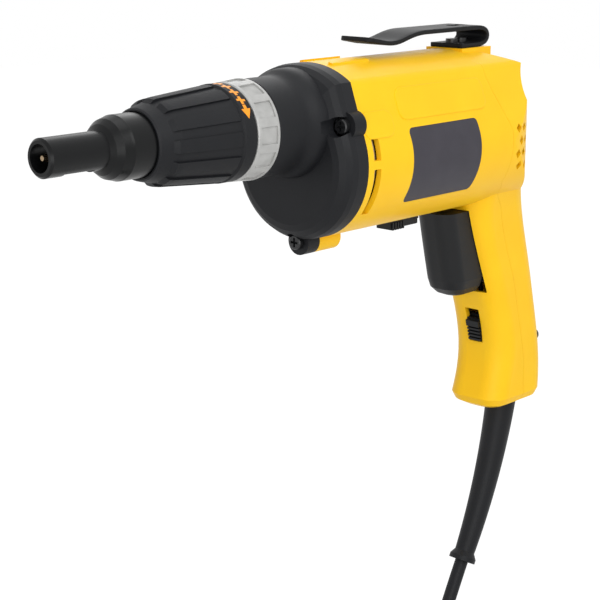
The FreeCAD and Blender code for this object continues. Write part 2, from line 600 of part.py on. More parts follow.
def gear_case():
    flange = val("flange_x")
    front = val(CASE_FRONT)
    spindle_z = val("spindle_z")
    motor_z = val(MOTOR_Z)
    wall = val("case_wall")
    dome = val("dome_len")
    bend = val("dome_round")
    gap = val("seat_gap")
    steps = 4
    skin = [barrel_face(0, flange)]
    for index in range(steps + 1):
        turn = math.radians(90 * index / steps) * 0.93
        skin.append(barrel_face(bend * (1 - math.cos(turn)), flange + dome - bend + bend * math.sin(turn)))
    form = Part.makeLoft([face.OuterWire for face in skin], True, True)
    flare = val("neck_flare_r")
    slim = val("neck_r")
    flare_end = flange + val("dome_len")
    slim_start = flare_end + val("neck_flare_len") * 0.75
    middle = (flare_end + slim_start) / 2
    outline = Part.Wire([
        Part.LineSegment(V(flange, 0, 0), V(flange, 0, flare)).toShape(),
        Part.LineSegment(V(flange, 0, flare), V(flare_end, 0, flare)).toShape(),
        neck_curve(flare_end, flare, middle, slim_start, slim),
        Part.LineSegment(V(slim_start, 0, slim), V(front - 1, 0, slim)).toShape(),
        Part.LineSegment(V(front - 1, 0, slim), V(front, 0, slim - 1)).toShape(),
        Part.LineSegment(V(front, 0, slim - 1), V(front, 0, 0)).toShape(),
        Part.LineSegment(V(front, 0, 0), V(flange, 0, 0)).toShape()])
    neck = Part.Face(outline).revolve(V(), X_AXIS, 360)
    neck.translate(V(0, 0, spindle_z))
    form = form.fuse(neck)
    for y, z in SCREW_SPOTS:
        form = form.fuse(bar((flange, y, z), X_AXIS, val("screw_boss_r"), val("screw_face")))
    form = form.fuse(bar((front - 1, 0, spindle_z), X_AXIS, val("journal_r"), val("journal_len") + 1))
    form = form.fuse(bar((front - 1, 0, spindle_z), X_AXIS, val("snout_r"), val("snout_len") + 1))
    hollow = barrel(wall, flange - 1, val(GEAR_FRONT) + 0.5)
    hollow = hollow.fuse(bar((flange - 1, 0, spindle_z), X_AXIS, val("case_cavity_r"),
                             front - flange - val("case_front_wall") + 1))
    hollow = hollow.fuse(bar((flange - 1, 0, motor_z), X_AXIS, 2 * val("shaft_r"),
                             val(GEAR_FRONT) - flange + 3))
    hollow = hollow.fuse(bar((flange, 0, spindle_z), X_AXIS, val("bush_r"),
                             front - flange + val("snout_len") + 1))
    groove_x = val(COLLAR_REAR) + val("snap_ring_back") + val("end_gap") / 2
    groove = bar((groove_x - gap, 0, spindle_z), X_AXIS, val("journal_r") + 2, val("snap_ring_w") + 2 * gap)
    groove = groove.cut(bar((groove_x - 1, 0, spindle_z), X_AXIS, val("journal_r") - val("snap_ring_depth"),
                            6))
    form = form.cut(hollow).cut(groove)
    for y, z in SCREW_SPOTS:
        sleeve = bar((flange, y, z), X_AXIS, val("screw_boss_r") - 1.5, val("screw_face") - 1)
        sleeve = sleeve.fuse(bar((flange, y, z), X_AXIS, val("screw_boss_r") - 1.5, 3))
        form = form.fuse(sleeve)
        form = form.cut(bar((flange - 1, y, z), X_AXIS, val("screw_r") + gap, 30))
        form = form.cut(bar((flange + val("screw_face"), y, z), X_AXIS, val("screw_head_r") + 1, 12))
    return form.removeSplitter()


def neck_curve(flare_end, flare, middle, slim_start, slim):
    """The flare's line, level at both ends."""
    shape = Part.BezierCurve()
    shape.setPoles([V(flare_end, 0, flare), V(middle, 0, flare), V(middle, 0, slim), V(slim_start, 0, slim)])
    return shape.toShape()


plain("gear_case", gear_case())


def cross_recess(x, y, z, reach):
    """The cross-shaped driving recess in a screw's head, cut inwards from x along -X."""
    arm = reach * 0.62
    slim = reach * 0.16
    deep = reach * 0.5
    return block((x - deep, y - arm, z - slim), (x + 1, y + arm, z + slim)).fuse(
        block((x - deep, y - slim, z - arm), (x + 1, y + slim, z + arm)))


def case_screws():
    flange = val("flange_x")
    head = val("screw_head_len")
    made = []
    for y, z in SCREW_SPOTS:
        seat = flange + val("screw_face") + val("seat_gap")
        screw = bar((seat, y, z), X_AXIS, val("screw_head_r"), head)
        screw = screw.makeChamfer(0.5,
                                  [edge for edge in screw.Edges if abs(edge.CenterOfMass.x - seat - head) < 0.01])
        screw = screw.fuse(bar((seat - val("screw_len"), y, z), X_AXIS, val("screw_r"),
                               val("screw_len") + 1))
        made.append(screw.cut(cross_recess(seat + head, y, z, val("screw_head_r"))).removeSplitter())
    return Part.makeCompound(made)


plain("gear_case_screws", case_screws())


# Bearing plate between gear case and motor, and the bearings it holds.
def bearing_plate():
    flange = val("flange_x")
    thick = val("plate_thick")
    plate = barrel(val("wall") + val("seat_gap"), flange - thick, flange - val("seat_gap"))
    motor_z = val(MOTOR_Z)
    plate = plate.cut(bar((flange - thick - 1, 0, motor_z), X_AXIS, val("front_bearing_r") + val("seat_gap"),
                          val("front_bearing_w") + 1 + val("seat_gap")))
    plate = plate.cut(bar((flange - thick - 1, 0, motor_z), X_AXIS, val("shaft_r") + 1.5, thick + 2))
    plate = plate.cut(bar((flange - val("hub_bush_len"), 0, val("spindle_z")), X_AXIS,
                          val("hub_bush_r") + val("seat_gap"), thick))
    plate = plate.cut(bar((flange - thick - 1, 0, val("spindle_z")), X_AXIS, val("hub_r") - 1, thick))
    for y, z in SCREW_SPOTS[:2]:
        plate = plate.cut(bar((flange - thick - 1, y, z), X_AXIS, val("screw_boss_r") + val("slide_gap"),
                              thick + 2))
    return plate


plain("bearing_plate", bearing_plate())
tube("drive_gear_bush", "flange_x - hub_bush_len + seat_gap", "spindle_z", "hub_bush_len - 2 * seat_gap",
     "hub_bush_r", "hub_r + running_gap")
tube("front_bearing", "flange_x - plate_thick", MOTOR_Z, "front_bearing_w", "front_bearing_r",
     "shaft_r + running_gap")


# Gears: a stub involute profile with backlash, cut straight.
def gear_prism(teeth, first_angle, length):
    """A toothed bar along X from the origin, one tooth centred on first_angle in the YZ plane."""
    module = val("gear_module")
    pressure = math.radians(val("pressure_angle"))
    pitch_r = module * teeth / 2
    base_r = pitch_r * math.cos(pressure)
    tip_r = pitch_r + 0.8 * module
    root_r = pitch_r - 1.05 * module
    half_tooth = math.pi / (2 * teeth) - val("backlash") / (2 * pitch_r)
    pitch_roll = math.tan(pressure) - pressure

    def half_angle(radius):
        lean = math.acos(min(1.0, base_r / radius))
        return half_tooth + pitch_roll - (math.tan(lean) - lean)

    def spot(radius, angle):
        return V(0, radius * math.cos(angle), radius * math.sin(angle))

    low = max(base_r, root_r)
    radii = [low + (tip_r - low) * index / 3 for index in range(4)]
    edges = []
    previous = None
    first = None
    for index in range(teeth):
        middle = first_angle + 2 * math.pi * index / teeth
        rising = [spot(root_r, middle - half_angle(low))] if root_r < low - 0.01 else []
        rising += [spot(radius, middle - half_angle(radius)) for radius in radii]
        falling = [spot(radius, middle + half_angle(radius)) for radius in reversed(radii)]
        falling += [spot(root_r, middle + half_angle(low))] if root_r < low - 0.01 else []
        if previous is not None:
            edges.append(Part.LineSegment(previous, rising[0]).toShape())
        else:
            first = rising[0]
        chain = rising + falling
        for start, end in zip(chain, chain[1:]):
            edges.append(Part.LineSegment(start, end).toShape())
        previous = chain[-1]
    edges.append(Part.LineSegment(previous, first).toShape())
    return Part.Face(Part.Wire(edges)).extrude(V(length, 0, 0))


def drive_gear():
    teeth = int(val("gear_teeth"))
    gear = gear_prism(teeth, -math.pi / 2 + math.pi / teeth, val("gear_face"))
    gear = gear.fuse(bar((-val("gear_start") - val("hub_bush_len") + 2 * val("end_gap"), 0, 0), X_AXIS,
                         val("hub_r"),
                         val("gear_start") + val("hub_bush_len") + 1))
    dogs = int(val("clutch_dogs"))
    face = val("gear_face")
    for index in range(dogs):
        sector = Part.makeCylinder(val("clutch_r"), val("clutch_dog_len") + 1, V(face - 1, 0, 0), X_AXIS,
                                   val("clutch_dog_angle"))
        sector = sector.cut(bar((face - 2, 0, 0), X_AXIS, val("clutch_dog_inner_r"), 8))
        sector.rotate(V(), X_AXIS, 360 * index / dogs + 180 / dogs)
        gear = gear.fuse(sector)
    gear = gear.cut(bar((-30, 0, 0), X_AXIS, val("pilot_r") + val("running_gap"), 60))
    gear.translate(V(val(GEAR_REAR), 0, val("spindle_z")))
    return gear


plain("drive_gear", drive_gear())


def armature_shaft():
    rear = val(YOKE_FRONT) - val("yoke_thick") + 1
    step = val(YOKE_FRONT) + 1
    face = val("flange_x") + 1
    shaft = bar((rear, 0, 0), X_AXIS, val("shaft_rear_r"), step - rear + 1)
    shaft = shaft.fuse(bar((step, 0, 0), X_AXIS, val("shaft_r"), face - step))
    pinion = gear_prism(int(val("pinion_teeth")), math.pi / 2, val("gear_face"))
    pinion.translate(V(face, 0, 0))
    shaft = shaft.fuse(pinion)
    shaft.translate(V(0, 0, val(MOTOR_Z)))
    return shaft


plain("armature_shaft", armature_shaft())

# Motor: laminated core and field, windings, commutator and fan.
core = tube("armature_core", CORE_REAR, MOTOR_Z, "core_len", "core_r", "shaft_r + seat_gap")
repeated(core, "core_slot", [("0", "core_r - 6"), ("core_len", "core_r - 6"), ("core_len", "core_r + 1"),
                             ("0", "core_r + 1")], "7", "core_slots", cut=True)


def armature_windings():
    """The two bundles of end turns, crowned like wound wire."""
    motor_z = val(MOTOR_Z)
    length = val("winding_len")
    made = []
    for start, grow in ((val(CORE_FRONT) + 0.1, 1), (val(CORE_REAR) - 0.1, -1)):
        ends = [V(start, 0, val("shaft_r") + 1), V(start, 0, val("winding_r")),
                V(start + grow * length * 0.7, 0, val("winding_r")), V(start + grow * length, 0,
                                                                       val("winding_r") - 4),
                V(start + grow * length, 0, val("shaft_r") + 1)]
        face = Part.Face(Part.makePolygon(ends + [ends[0]]))
        bundle = face.revolve(V(), X_AXIS, 360)
        slots = int(val("core_slots"))
        for index in range(slots):
            notch = block((start - 1 if grow > 0 else start - length - 1, -0.7, val("winding_r") - 2.2),
                          (start + length + 1 if grow > 0 else start + 1, 0.7, val("winding_r") + 2))
            notch.rotate(V(), X_AXIS, 360 * index / slots)
            bundle = bundle.cut(notch)
        bundle.translate(V(0, 0, motor_z))
        made.append(bundle)
    return Part.makeCompound(made)


plain("armature_windings", armature_windings())
commutator = tube("commutator", COMMUTATOR_FRONT + " - commutator_len", MOTOR_Z, "commutator_len",
                  "commutator_r",
                  "shaft_r + seat_gap")
repeated(commutator, "bar_gap", [("0", "commutator_r - 2"), ("commutator_len - 2", "commutator_r - 2"),
                                 ("commutator_len - 2", "commutator_r + 1"), ("0", "commutator_r + 1")],
         "3", "commutator_bars", cut=True)
fan = turned("cooling_fan", FAN_REAR, MOTOR_Z, [
    ("0", "shaft_r + seat_gap"),
    ("fan_w", "shaft_r + seat_gap"),
    ("fan_w", "fan_hub_r"),
    ("2", "fan_hub_r + 1"),
    ("2", "fan_r"),
    ("0", "fan_r"),
])
repeated(fan, "fan_blade", [("1", "fan_hub_r - 1"), ("fan_w", "fan_hub_r - 1"), ("fan_w - 1", "fan_r - 1"),
                            ("1", "fan_r - 1")], "5", "fan_blades")


def field_core():
    """A ring of laminations with flats at the sides and two wide windows for the coils."""
    x = val(CORE_REAR)
    length = val("core_len")
    bore = val("core_r") + val("air_gap")
    ring_form = bar((x, 0, 0), X_AXIS, val("field_r"), length).cut(bar((x - 1, 0, 0), X_AXIS, bore,
                                                                       length + 2))
    for side in (1, -1):
        window_form = block((x - 1, min(0, side * (val("field_r") - 4)), -6),
                            (x + length + 1, max(0, side * (val("field_r") - 4)), 6))
        ring_form = ring_form.cut(window_form)
    ring_form.translate(V(0, 0, val(MOTOR_Z)))
    return ring_form


def field_coils():
    """Two coils, each with a run through both windows and a crossing over each end of its pole."""
    x = val(CORE_REAR)
    length = val("core_len")
    bore = val("core_r") + val("air_gap")
    outer = val("field_r") - 4.4
    reach = 6
    made = []
    for top in (1, -1):
        coil_form = None
        for start in (x - reach, x + length + 0.1):
            arch = bar((start, 0, 0), X_AXIS, outer, reach - 0.1).cut(bar((start - 1, 0, 0), X_AXIS, bore,
                                                                          20))
            arch = arch.common(block((start - 1, -40, min(top * 0.4, top * 40)), (start + 20, 40,
                                                                                  max(top * 0.4, top * 40))))
            coil_form = arch if coil_form is None else coil_form.fuse(arch)
        for side in (1, -1):
            run = block((x - 1, min(side * (bore + 0.6), side * (outer - 0.1)), min(top * 0.4, top * 5.5)),
                        (x + length + 1, max(side * (bore + 0.6), side * (outer - 0.1)), max(top * 0.4,
                                                                                             top * 5.5)))
            coil_form = coil_form.fuse(run)
        coil_form.translate(V(0, 0, val(MOTOR_Z)))
        made.append(coil_form)
    return Part.makeCompound(made)


plain("field_core", field_core())
plain("field_coils", field_coils())


# Brush yoke with the rear bearing, and a brush, box and spring at each side of the commutator.
def brush_yoke():
    front = val(YOKE_FRONT)
    thick = val("yoke_thick")
    motor_z = val(MOTOR_Z)
    plate = bar((front - thick, 0, motor_z), X_AXIS, val("barrel_r") - val("wall") - val("slide_gap"), thick)
    plate = plate.cut(bar((front - thick + 1, 0, motor_z), X_AXIS, val("rear_bearing_r") + val("seat_gap"),
                          thick))
    plate = plate.cut(bar((front - thick - 1, 0, motor_z), X_AXIS, val("shaft_rear_r") + 1.5, thick + 2))
    for angle in (45, 135, 225, 315):
        reach = val("barrel_r - wall - slide_gap - yoke_hole_in")
        plate = plate.cut(bar((front - thick - 1, reach * math.cos(math.radians(angle)),
                               motor_z + reach * math.sin(math.radians(angle))), X_AXIS,
                              val("yoke_hole_r"), thick + 2))
    return plate.common(INNER)


plain("brush_yoke", brush_yoke())
tube("rear_bearing", YOKE_FRONT + " - yoke_thick + 1 + seat_gap", MOTOR_Z, "rear_bearing_w",
     "rear_bearing_r",
     "shaft_rear_r + running_gap")


def brush_box(side):
    middle_x = val(COMMUTATOR_FRONT) - val("commutator_len") / 2
    motor_z = val(MOTOR_Z)
    wide = val("brush_w") / 2 + val("slide_gap") / 4
    deep = val("brush_deep") / 2 + val("slide_gap") / 4
    wall = val("brush_box_wall")
    near = val("commutator_r") + 2
    far = near + val("brush_box_len")
    shell = block((middle_x - deep - wall, near, -wide - wall), (middle_x + deep + wall, far, wide + wall))
    foot = block((val(YOKE_FRONT) + val("seat_gap"), near + 4, -wide), (middle_x - deep, far - 1, wide))
    hole = block((middle_x - deep, near - 1, -wide), (middle_x + deep, far - wall, wide))
    form = shell.fuse(foot).cut(hole)
    form.translate(V(0, 0, motor_z))
    return form if side > 0 else form.mirror(V(), Y_AXIS)


def brush(side):
    middle_x = val(COMMUTATOR_FRONT) - val("commutator_len") / 2
    near = val("commutator_r") + val("running_gap") * 2
    form = block((middle_x - val("brush_deep") / 2, near, -val("brush_w") / 2),
                 (middle_x + val("brush_deep") / 2, near + val("brush_len"), val("brush_w") / 2))
    form = form.cut(bar((middle_x - 20, 0, 0), X_AXIS, near, 40))
    form.translate(V(0, 0, val(MOTOR_Z)))
    return form if side > 0 else form.mirror(V(), Y_AXIS)


plain("brush_boxes", Part.makeCompound([brush_box(1), brush_box(-1)]))
plain("carbon_brushes", Part.makeCompound([brush(1), brush(-1)]))


# Wound pieces: a round wire along a line of points and tangents, joined by pairs of arcs.
def arc_from(start, direction, end):
    """The arc that leaves start along direction and reaches end."""
    chord = end - start
    across = chord - direction * chord.dot(direction)
    if across.Length < 1e-6:
        return Part.LineSegment(start, end).toShape()
    side = V(across).normalize()
    radius = chord.dot(chord) / (2 * chord.dot(side))
    centre = start + side * radius
    half = V(V(start - centre) + V(end - centre))
    bow = V(half).normalize() if half.Length > 1e-6 else V(direction)
    if chord.dot(direction) < 0:
        bow = bow * -1
    return Part.Arc(start, centre + bow * abs(radius), end).toShape()


def biarc(start, leave, end, arrive):
    """Two arcs that join start to end with the given directions."""
    span = end - start
    both = leave + arrive
    spread = 2 * (1 - leave.dot(arrive))
    if spread < 1e-9:
        reach = span.dot(span) / (4 * span.dot(arrive))
    else:
        along = span.dot(both)
        reach = (-along + math.sqrt(along * along + spread * span.dot(span))) / spread
    middle = (start + end + (leave - arrive) * reach) * 0.5
    turn = V(middle - start - leave * reach).normalize()
    return [arc_from(start, leave, middle), arc_from(middle, turn, end)]


def wound(place_at, first, last, step, lead_in=0, lead_out=0):
    """The path of place_at(angle) from first to last in steps, with straight ends. Returns edges and points."""
    count = int(round((last - first) / step))
    angles = [first + (last - first) * index / count for index in range(count + 1)]
    small = 1e-4
    spots = [place_at(angle) for angle in angles]
    ways = [V(place_at(angle + small) - place_at(angle - small)).normalize() for angle in angles]
    edges = []
    if lead_in:
        edges.append(Part.LineSegment(spots[0] - ways[0] * lead_in, spots[0]).toShape())
    for index in range(count):
        edges += biarc(spots[index], ways[index], spots[index + 1], ways[index + 1])
    if lead_out:
        edges.append(Part.LineSegment(spots[-1], spots[-1] + ways[-1] * lead_out).toShape())
    return edges


def wire_solid(edges, diameter):
    """A round wire along joined edges."""
    path = Part.Wire(edges)
    begin = edges[0].valueAt(edges[0].FirstParameter)
    way = edges[0].tangentAt(edges[0].FirstParameter)
    ring_wire = Part.Wire([Part.Circle(begin, way, diameter / 2).toShape()])
    return path.makePipeShell([ring_wire], True, False)


def least_gap(place_at, first, last, diameter):
    """The least clear distance between two different turns of a wound wire, measured on points."""
    count = int((last - first) / (2 * math.pi) * 72)
    spots = [place_at(first + (last - first) * index / count) for index in range(count + 1)]
    least = 1e9
    for index, spot in enumerate(spots):
        for other in spots[index + 40:]:
            least = min(least, (spot - other).Length)
    return least - diameter


def helix_spring(start, axis, across, up, radius, wire, turns, length):
    """A compression spring between two faces length apart, clear of both by half its seat gap."""
    climb = length - wire - 2 * val("end_gap")
    begin = V(*start) + axis * (wire / 2 + val("end_gap"))

    def place_at(angle):
        return begin + axis * (climb * angle / (2 * math.pi * turns)) + across * (radius * math.cos(angle)) \
            + up * (radius * math.sin(angle))

    print("spring turns clear by", round(least_gap(place_at, 0, 2 * math.pi * turns, wire), 2))
    return wire_solid(wound(place_at, 0, 2 * math.pi * turns, math.pi / 2), wire)


plain("clutch_spring", helix_spring((val(GEAR_FRONT), 0, val("spindle_z")), X_AXIS, Y_AXIS, Z_AXIS,
                                    val("clutch_spring_r"), val("clutch_spring_wire"),
                                    val("clutch_spring_turns"),
                                    val(DISC_REAR) - val(GEAR_FRONT)))
plain("trigger_spring", helix_spring((val("switch_front_x"), 0, val("plunger_z")), X_AXIS, Y_AXIS, Z_AXIS,
                                     val("trigger_spring_r"), val("trigger_spring_wire"),
                                     val("trigger_spring_turns"),
                                     val("trigger_seat_x") - val("switch_front_x")))
brush_springs = []
for side in (1, -1):
    near_y = val("commutator_r") + 2 * val("running_gap") + val("brush_len")
    far_y = val("commutator_r") + 2 + val("brush_box_len") - val("brush_box_wall")
    brush_springs.append(helix_spring(
        (val(COMMUTATOR_FRONT) - val("commutator_len") / 2, side * near_y,
         val(MOTOR_Z)), Y_AXIS * side, X_AXIS, Z_AXIS,
        val("brush_spring_r"), val("brush_spring_wire"), val("brush_spring_turns"), far_y - near_y))
plain("brush_springs", Part.makeCompound(brush_springs))


# Trigger, switch, lock slide and reversing lever.
def trigger():
    half = val("trigger_w") / 2
    bend = val("trigger_round")
    seat = val("trigger_seat_x")
    back = val("switch_front_x + trigger_travel + 2 * end_gap")
    nose = val("trigger_nose_x")
    top = val("trigger_top_z")
    low = val("trigger_low_z")
    tall = top - low
    levels = [(top, nose + 1.5), (top - tall * 0.42, nose - 3), (low + bend, nose - 7.5)]
    form = Part.makeLoft([grip_section(z, back, front, half, bend, 2) for z, front in levels], True, False)
    foot = [(low + bend, nose - 7.5, 0), (low + bend * 0.5, nose - 9, 1), (low + bend * 0.15, nose - 12.5,
                                                                           3),
            (low, nose - 16, 6)]
    form = form.fuse(Part.makeLoft([grip_section(z, back + draw * 0.3, front, half - draw,
                                                 bend - draw * 0.6, 2)
                                    for z, front, draw in foot], True, True))
    pocket = val("trigger_spring_r + trigger_spring_wire / 2 + slide_gap")
    form = form.cut(bar((back - 1, 0, val("plunger_z")), X_AXIS, pocket, seat - back + 1))
    plunger = bar((seat - val("plunger_len"), 0, val("plunger_z")), X_AXIS, val("plunger_r"),
                  val("plunger_len") + 8)
    return form.fuse(plunger).removeSplitter()


def switch_body():
    front = val("switch_front_x")
    half = val("switch_w") / 2
    form = block((front - val("switch_deep"), -half, val("switch_low_z")), (front, half,
                                                                            val("switch_top_z")))
    form = form.makeChamfer(1,
                            [edge for edge in form.Edges
                             if edge.Length > val("switch_top_z - switch_low_z") - 1])
    reach = val("plunger_len") - val("trigger_seat_x") + front + val("trigger_travel") + 1
    return form.cut(bar((front - reach, 0, val("plunger_z")), X_AXIS,
                        val("plunger_r") + val("slide_gap") / 2, reach + 1))


plain("trigger", trigger())
plain("switch_body", switch_body())

# The lock slides along the grip's front, which leans back as it goes down.
def grip_front(z):
    """How far forward the grip's front is at a height."""
    ray = Part.makeLine(V(val("heel_x"), 0, z), V(val("flange_x"), 0, z))
    return max(vertex.X for vertex in OUTER.common(ray).Vertexes)


LOCK_HIGH_X = grip_front(val("lock_high_z"))
LOCK_LEAN = math.atan2(LOCK_HIGH_X - grip_front(val("lock_low_z")), val("lock_high_z - lock_low_z"))
LOCK_UP = V(math.sin(LOCK_LEAN), 0, math.cos(LOCK_LEAN))
LOCK_OUT = V(math.cos(LOCK_LEAN), 0, -math.sin(LOCK_LEAN))


def lock_block(low_z, tall, half, inside, outside):
    """A block on the grip's front line: from low_z up along the line, and from inside to outside of the face."""
    fall = val("lock_high_z") - low_z
    foot = V(LOCK_HIGH_X - fall * math.tan(LOCK_LEAN), 0, low_z)
    form = Part.makeBox(outside - inside, 2 * half, tall, V(inside, -half, 0))
    form.Placement = FreeCAD.Placement(foot, FreeCAD.Rotation(Y_AXIS, math.degrees(LOCK_LEAN)))
    return form


def lock_slide():
    half = val("lock_w") / 2 - val("slide_gap")
    wall = val("wall")
    start = val("lock_low_z") + 2 * val("slide_gap")
    form = lock_block(start, val("lock_len"), half, -wall - 2.2, -0.6)
    form = form.fuse(lock_block(start - 1, val("lock_len") + 2, half + 2.4, -wall - 3.4, -wall - 1.2))
    ridge = (val("lock_len") - 5) / 4
    for index in range(4):
        form = form.fuse(lock_block(start + ridge * index + 0.3, ridge * 0.55, half, -1,
                                    val("lock_proud") - 1))
    return form.fuse(lock_block(start + val("lock_len") - 4.5, 3.5, half, -1,
                                val("lock_proud") - 0.6)).removeSplitter()


plain("lock_slide", lock_slide())
print("lock slides along", LOCK_UP)


def reversing_lever():
    """A pin through the barrel's underside with an arm below it, ribbed at its front end."""
    low = val(MOTOR_Z) - val("barrel_r")
    arm_top = low - val("slide_gap")
    x = val("lever_x")
    thick = val("lever_thick")
    half = val("lever_w") / 2
    length = val("lever_len")
    form = bar((x, 0, arm_top - thick), Z_AXIS, half, thick)
    form = form.fuse(block((x, -half, arm_top - thick), (x + length, half, arm_top)))
    form = form.fuse(bar((x, 0, arm_top - 1), Z_AXIS, val("lever_pin_r"), val("wall") + 3))
    rib = length * 0.5 / 5
    for index in range(5):
        spot = x + length * 0.5 + rib * index
        form = form.fuse(block((spot, -half - 0.8, arm_top - thick - 0.8), (spot + rib * 0.55, half + 0.8,
                                                                            arm_top - 0.6)))
    return form.removeSplitter()


plain("reversing_lever", reversing_lever())


# Housing: a shell cut along the seam into the main housing and the rear cover.
def slab(points, half=60):
    """An outline of the XZ plane with straight edges, made a slab across Y."""
    corners = [V(x, -half, z) for x, z in points]
    return Part.Face(Part.makePolygon(corners + [corners[0]])).extrude(V(0, 2 * half, 0))


def behind_seam(shift):
    """Everything behind the seam, moved forward by shift."""
    top = val("roof_z") + 20
    base = val("handle_base_z") - 20
    rear = val("heel_x") - 40
    seam = [(val("seam_top_x"), top), (val("seam_top_x"), val("roof_z") - 12), (val("seam_top_x") - 3,
                                                                                val("saddle_z")),
            (val("seam_mid_x"), val("saddle_z") - 20), (val("seam_mid_x"), val("back_high_z")),
            (val("seam_mid_x") - 14, val("back_high_z") - 16), (val("seam_mid_x") - 31,
                                                                val("back_mid_z") - 27),
            (val("seam_low_x") + 5, val("waist_z") + 14), (val("seam_low_x"), val("waist_z") - 6),
            (val("seam_low_x"), base)]
    return slab([(x + shift, z) for x, z in seam] + [(rear, base), (rear, top)])


COVER_SCREWS = [(side * val(across), val(up), val(length)) for side in (1, -1) for across, up, length in (
    ("cover_high_y", "cover_high_z", "cover_screw_len"), ("cover_low_y", "cover_low_z", "cover_low_len"))]


def badge_outline(spare):
    """The badge's side view: a round-cornered panel whose ends both bow backward, grown by spare."""
    front = val("badge_front_x") + spare
    rear = val("badge_rear_x") - spare
    top = val("badge_top_z") + spare
    low = val("badge_low_z") - spare
    middle = (top + low) / 2
    edges = [
        line((front, top), (rear, top)),
        Part.Arc(V(rear, 0, top), V(rear - val("badge_rear_bow"), 0, middle), V(rear, 0, low)).toShape(),
        line((rear, low), (front, low)),
        Part.Arc(V(front, 0, low), V(front - val("badge_front_bow"), 0, middle), V(front, 0, top)).toShape(),
    ]
    form = Part.Face(Part.Wire(edges)).extrude(V(0, 60, 0))
    corners = [edge for edge in form.Edges if abs(edge.BoundBox.YLength - 60) < 0.01]
    return form.makeFillet(val("badge_corner") + spare, corners)


def badge(side):
    skin = barrel(val("seat_gap"), 20, val("flange_x")).cut(barrel(val("seat_gap") + val("badge_thick"), 10,
                                                                   val("flange_x") + 5))
    form = skin.common(badge_outline(0))
    return form if side > 0 else form.mirror(V(), Y_AXIS)


plain("badge_left", badge(1))
plain("badge_right", badge(-1))


def vent_slots():
    """Two cooling slots in each side just behind the flange."""
    flange = val("flange_x")
    made = []
    middle = val(MOTOR_Z)
    x = flange - val("vent_back") - val("vent_w")
    for low, high in ((middle + 3, middle + 3 + val("vent_len")), (middle - 4 - val("vent_len"),
                                                                   middle - 1)):
        made.append(block((x, -60, low), (x + val("vent_w"), 60, high)))
    return made


def rear_vents():
    """Rows of small diamond holes in the rear cover's sides."""
    made = []
    for row in range(4):
        for column in range(3):
            x = 6 + 6 * column + (row % 2) * 3
            z = val("back_high_z") + 8 + 6.5 * row
            made.append(slab([(x - 2.2, z), (x, z - 2.6), (x + 2.2, z), (x, z + 2.6)]))
    return made


def screw_seat(y, z):
    """How far forward the head of a rear cover's screw seats, a little under the cover's surface."""
    ray = Part.makeLine(V(val("heel_x") - 40, y, z), V(val("seam_top_x"), y, z))
    surface = min(vertex.X for vertex in OUTER.common(ray).Vertexes)
    return surface + val("cover_head_deep")


ROOF_RIBS = (val("roof_rib_y"), -val("roof_rib_y"))


def shell():
    flange = val("flange_x")
    motor_z = val(MOTOR_Z)
    form = OUTER
    form = form.fuse(bar((flange - 15, 0, LOW_SCREW_Z), X_AXIS, val("screw_boss_r"), 15))
    for y in ROOF_RIBS:
        half = val("roof_rib_w") / 2
        rib = barrel(-val("roof_rib"), flange - val("roof_rib_len"), flange - val("vent_back"))
        form = form.fuse(rib.common(block((0, y - half, val("roof_edge_z")),
                                          (flange, y + half, val("roof_z") + 5))))
    seat_top = val("hook_seat_z")
    form = form.fuse(block((val("hook_foot_rear_x") - 2, -val("hook_w") / 2 - 1.5, val("tail_z") - 4),
                           (val("seam_top_x") - 0.5, val("hook_w") / 2 + 1.5, seat_top)))
    ends = INNER.fuse(barrel(val("wall"), flange - 20, flange + 1))
    form = form.cut(ends)
    bosses = []
    for y, z in SCREW_SPOTS[:2]:
        bosses.append(bar((flange - val("plate_thick") - 14, y, z), X_AXIS, val("screw_boss_r") - 0.5,
                          val("plate_thick") + 14))
    rib_half = val("field_rib_w") / 2
    for angle in (45, 135, 225, 315):
        rib = block((val(CORE_REAR), -rib_half, val("field_r") + val("seat_gap")), (val(CORE_FRONT),
                                                                                    rib_half, 60))
        rib = rib.cut(bar((val(CORE_REAR) - 1, 0, 0), X_AXIS, val("field_r") + val("seat_gap"), 200))
        rib.rotate(V(), X_AXIS, angle)
        rib.translate(V(0, 0, motor_z))
        bosses.append(rib)
    for side in (1, -1):
        low_y = val("switch_w") / 2 + val("seat_gap")
        rib = block((val("switch_front_x") - 12, low_y, val("switch_low_z") + 2),
                    (val("switch_front_x") - 4, 40, val("switch_top_z") - 4))
        bosses.append(rib if side > 0 else rib.mirror(V(), Y_AXIS))
    for y, z, length in COVER_SCREWS:
        bosses.append(bar((screw_seat(y, z) - 3, y, z), X_AXIS, val("cover_boss_r"), length + 5))
    for boss in bosses:
        form = form.fuse(boss.common(OUTER))
    for tool in cutters():
        form = form.cut(tool)
    return form


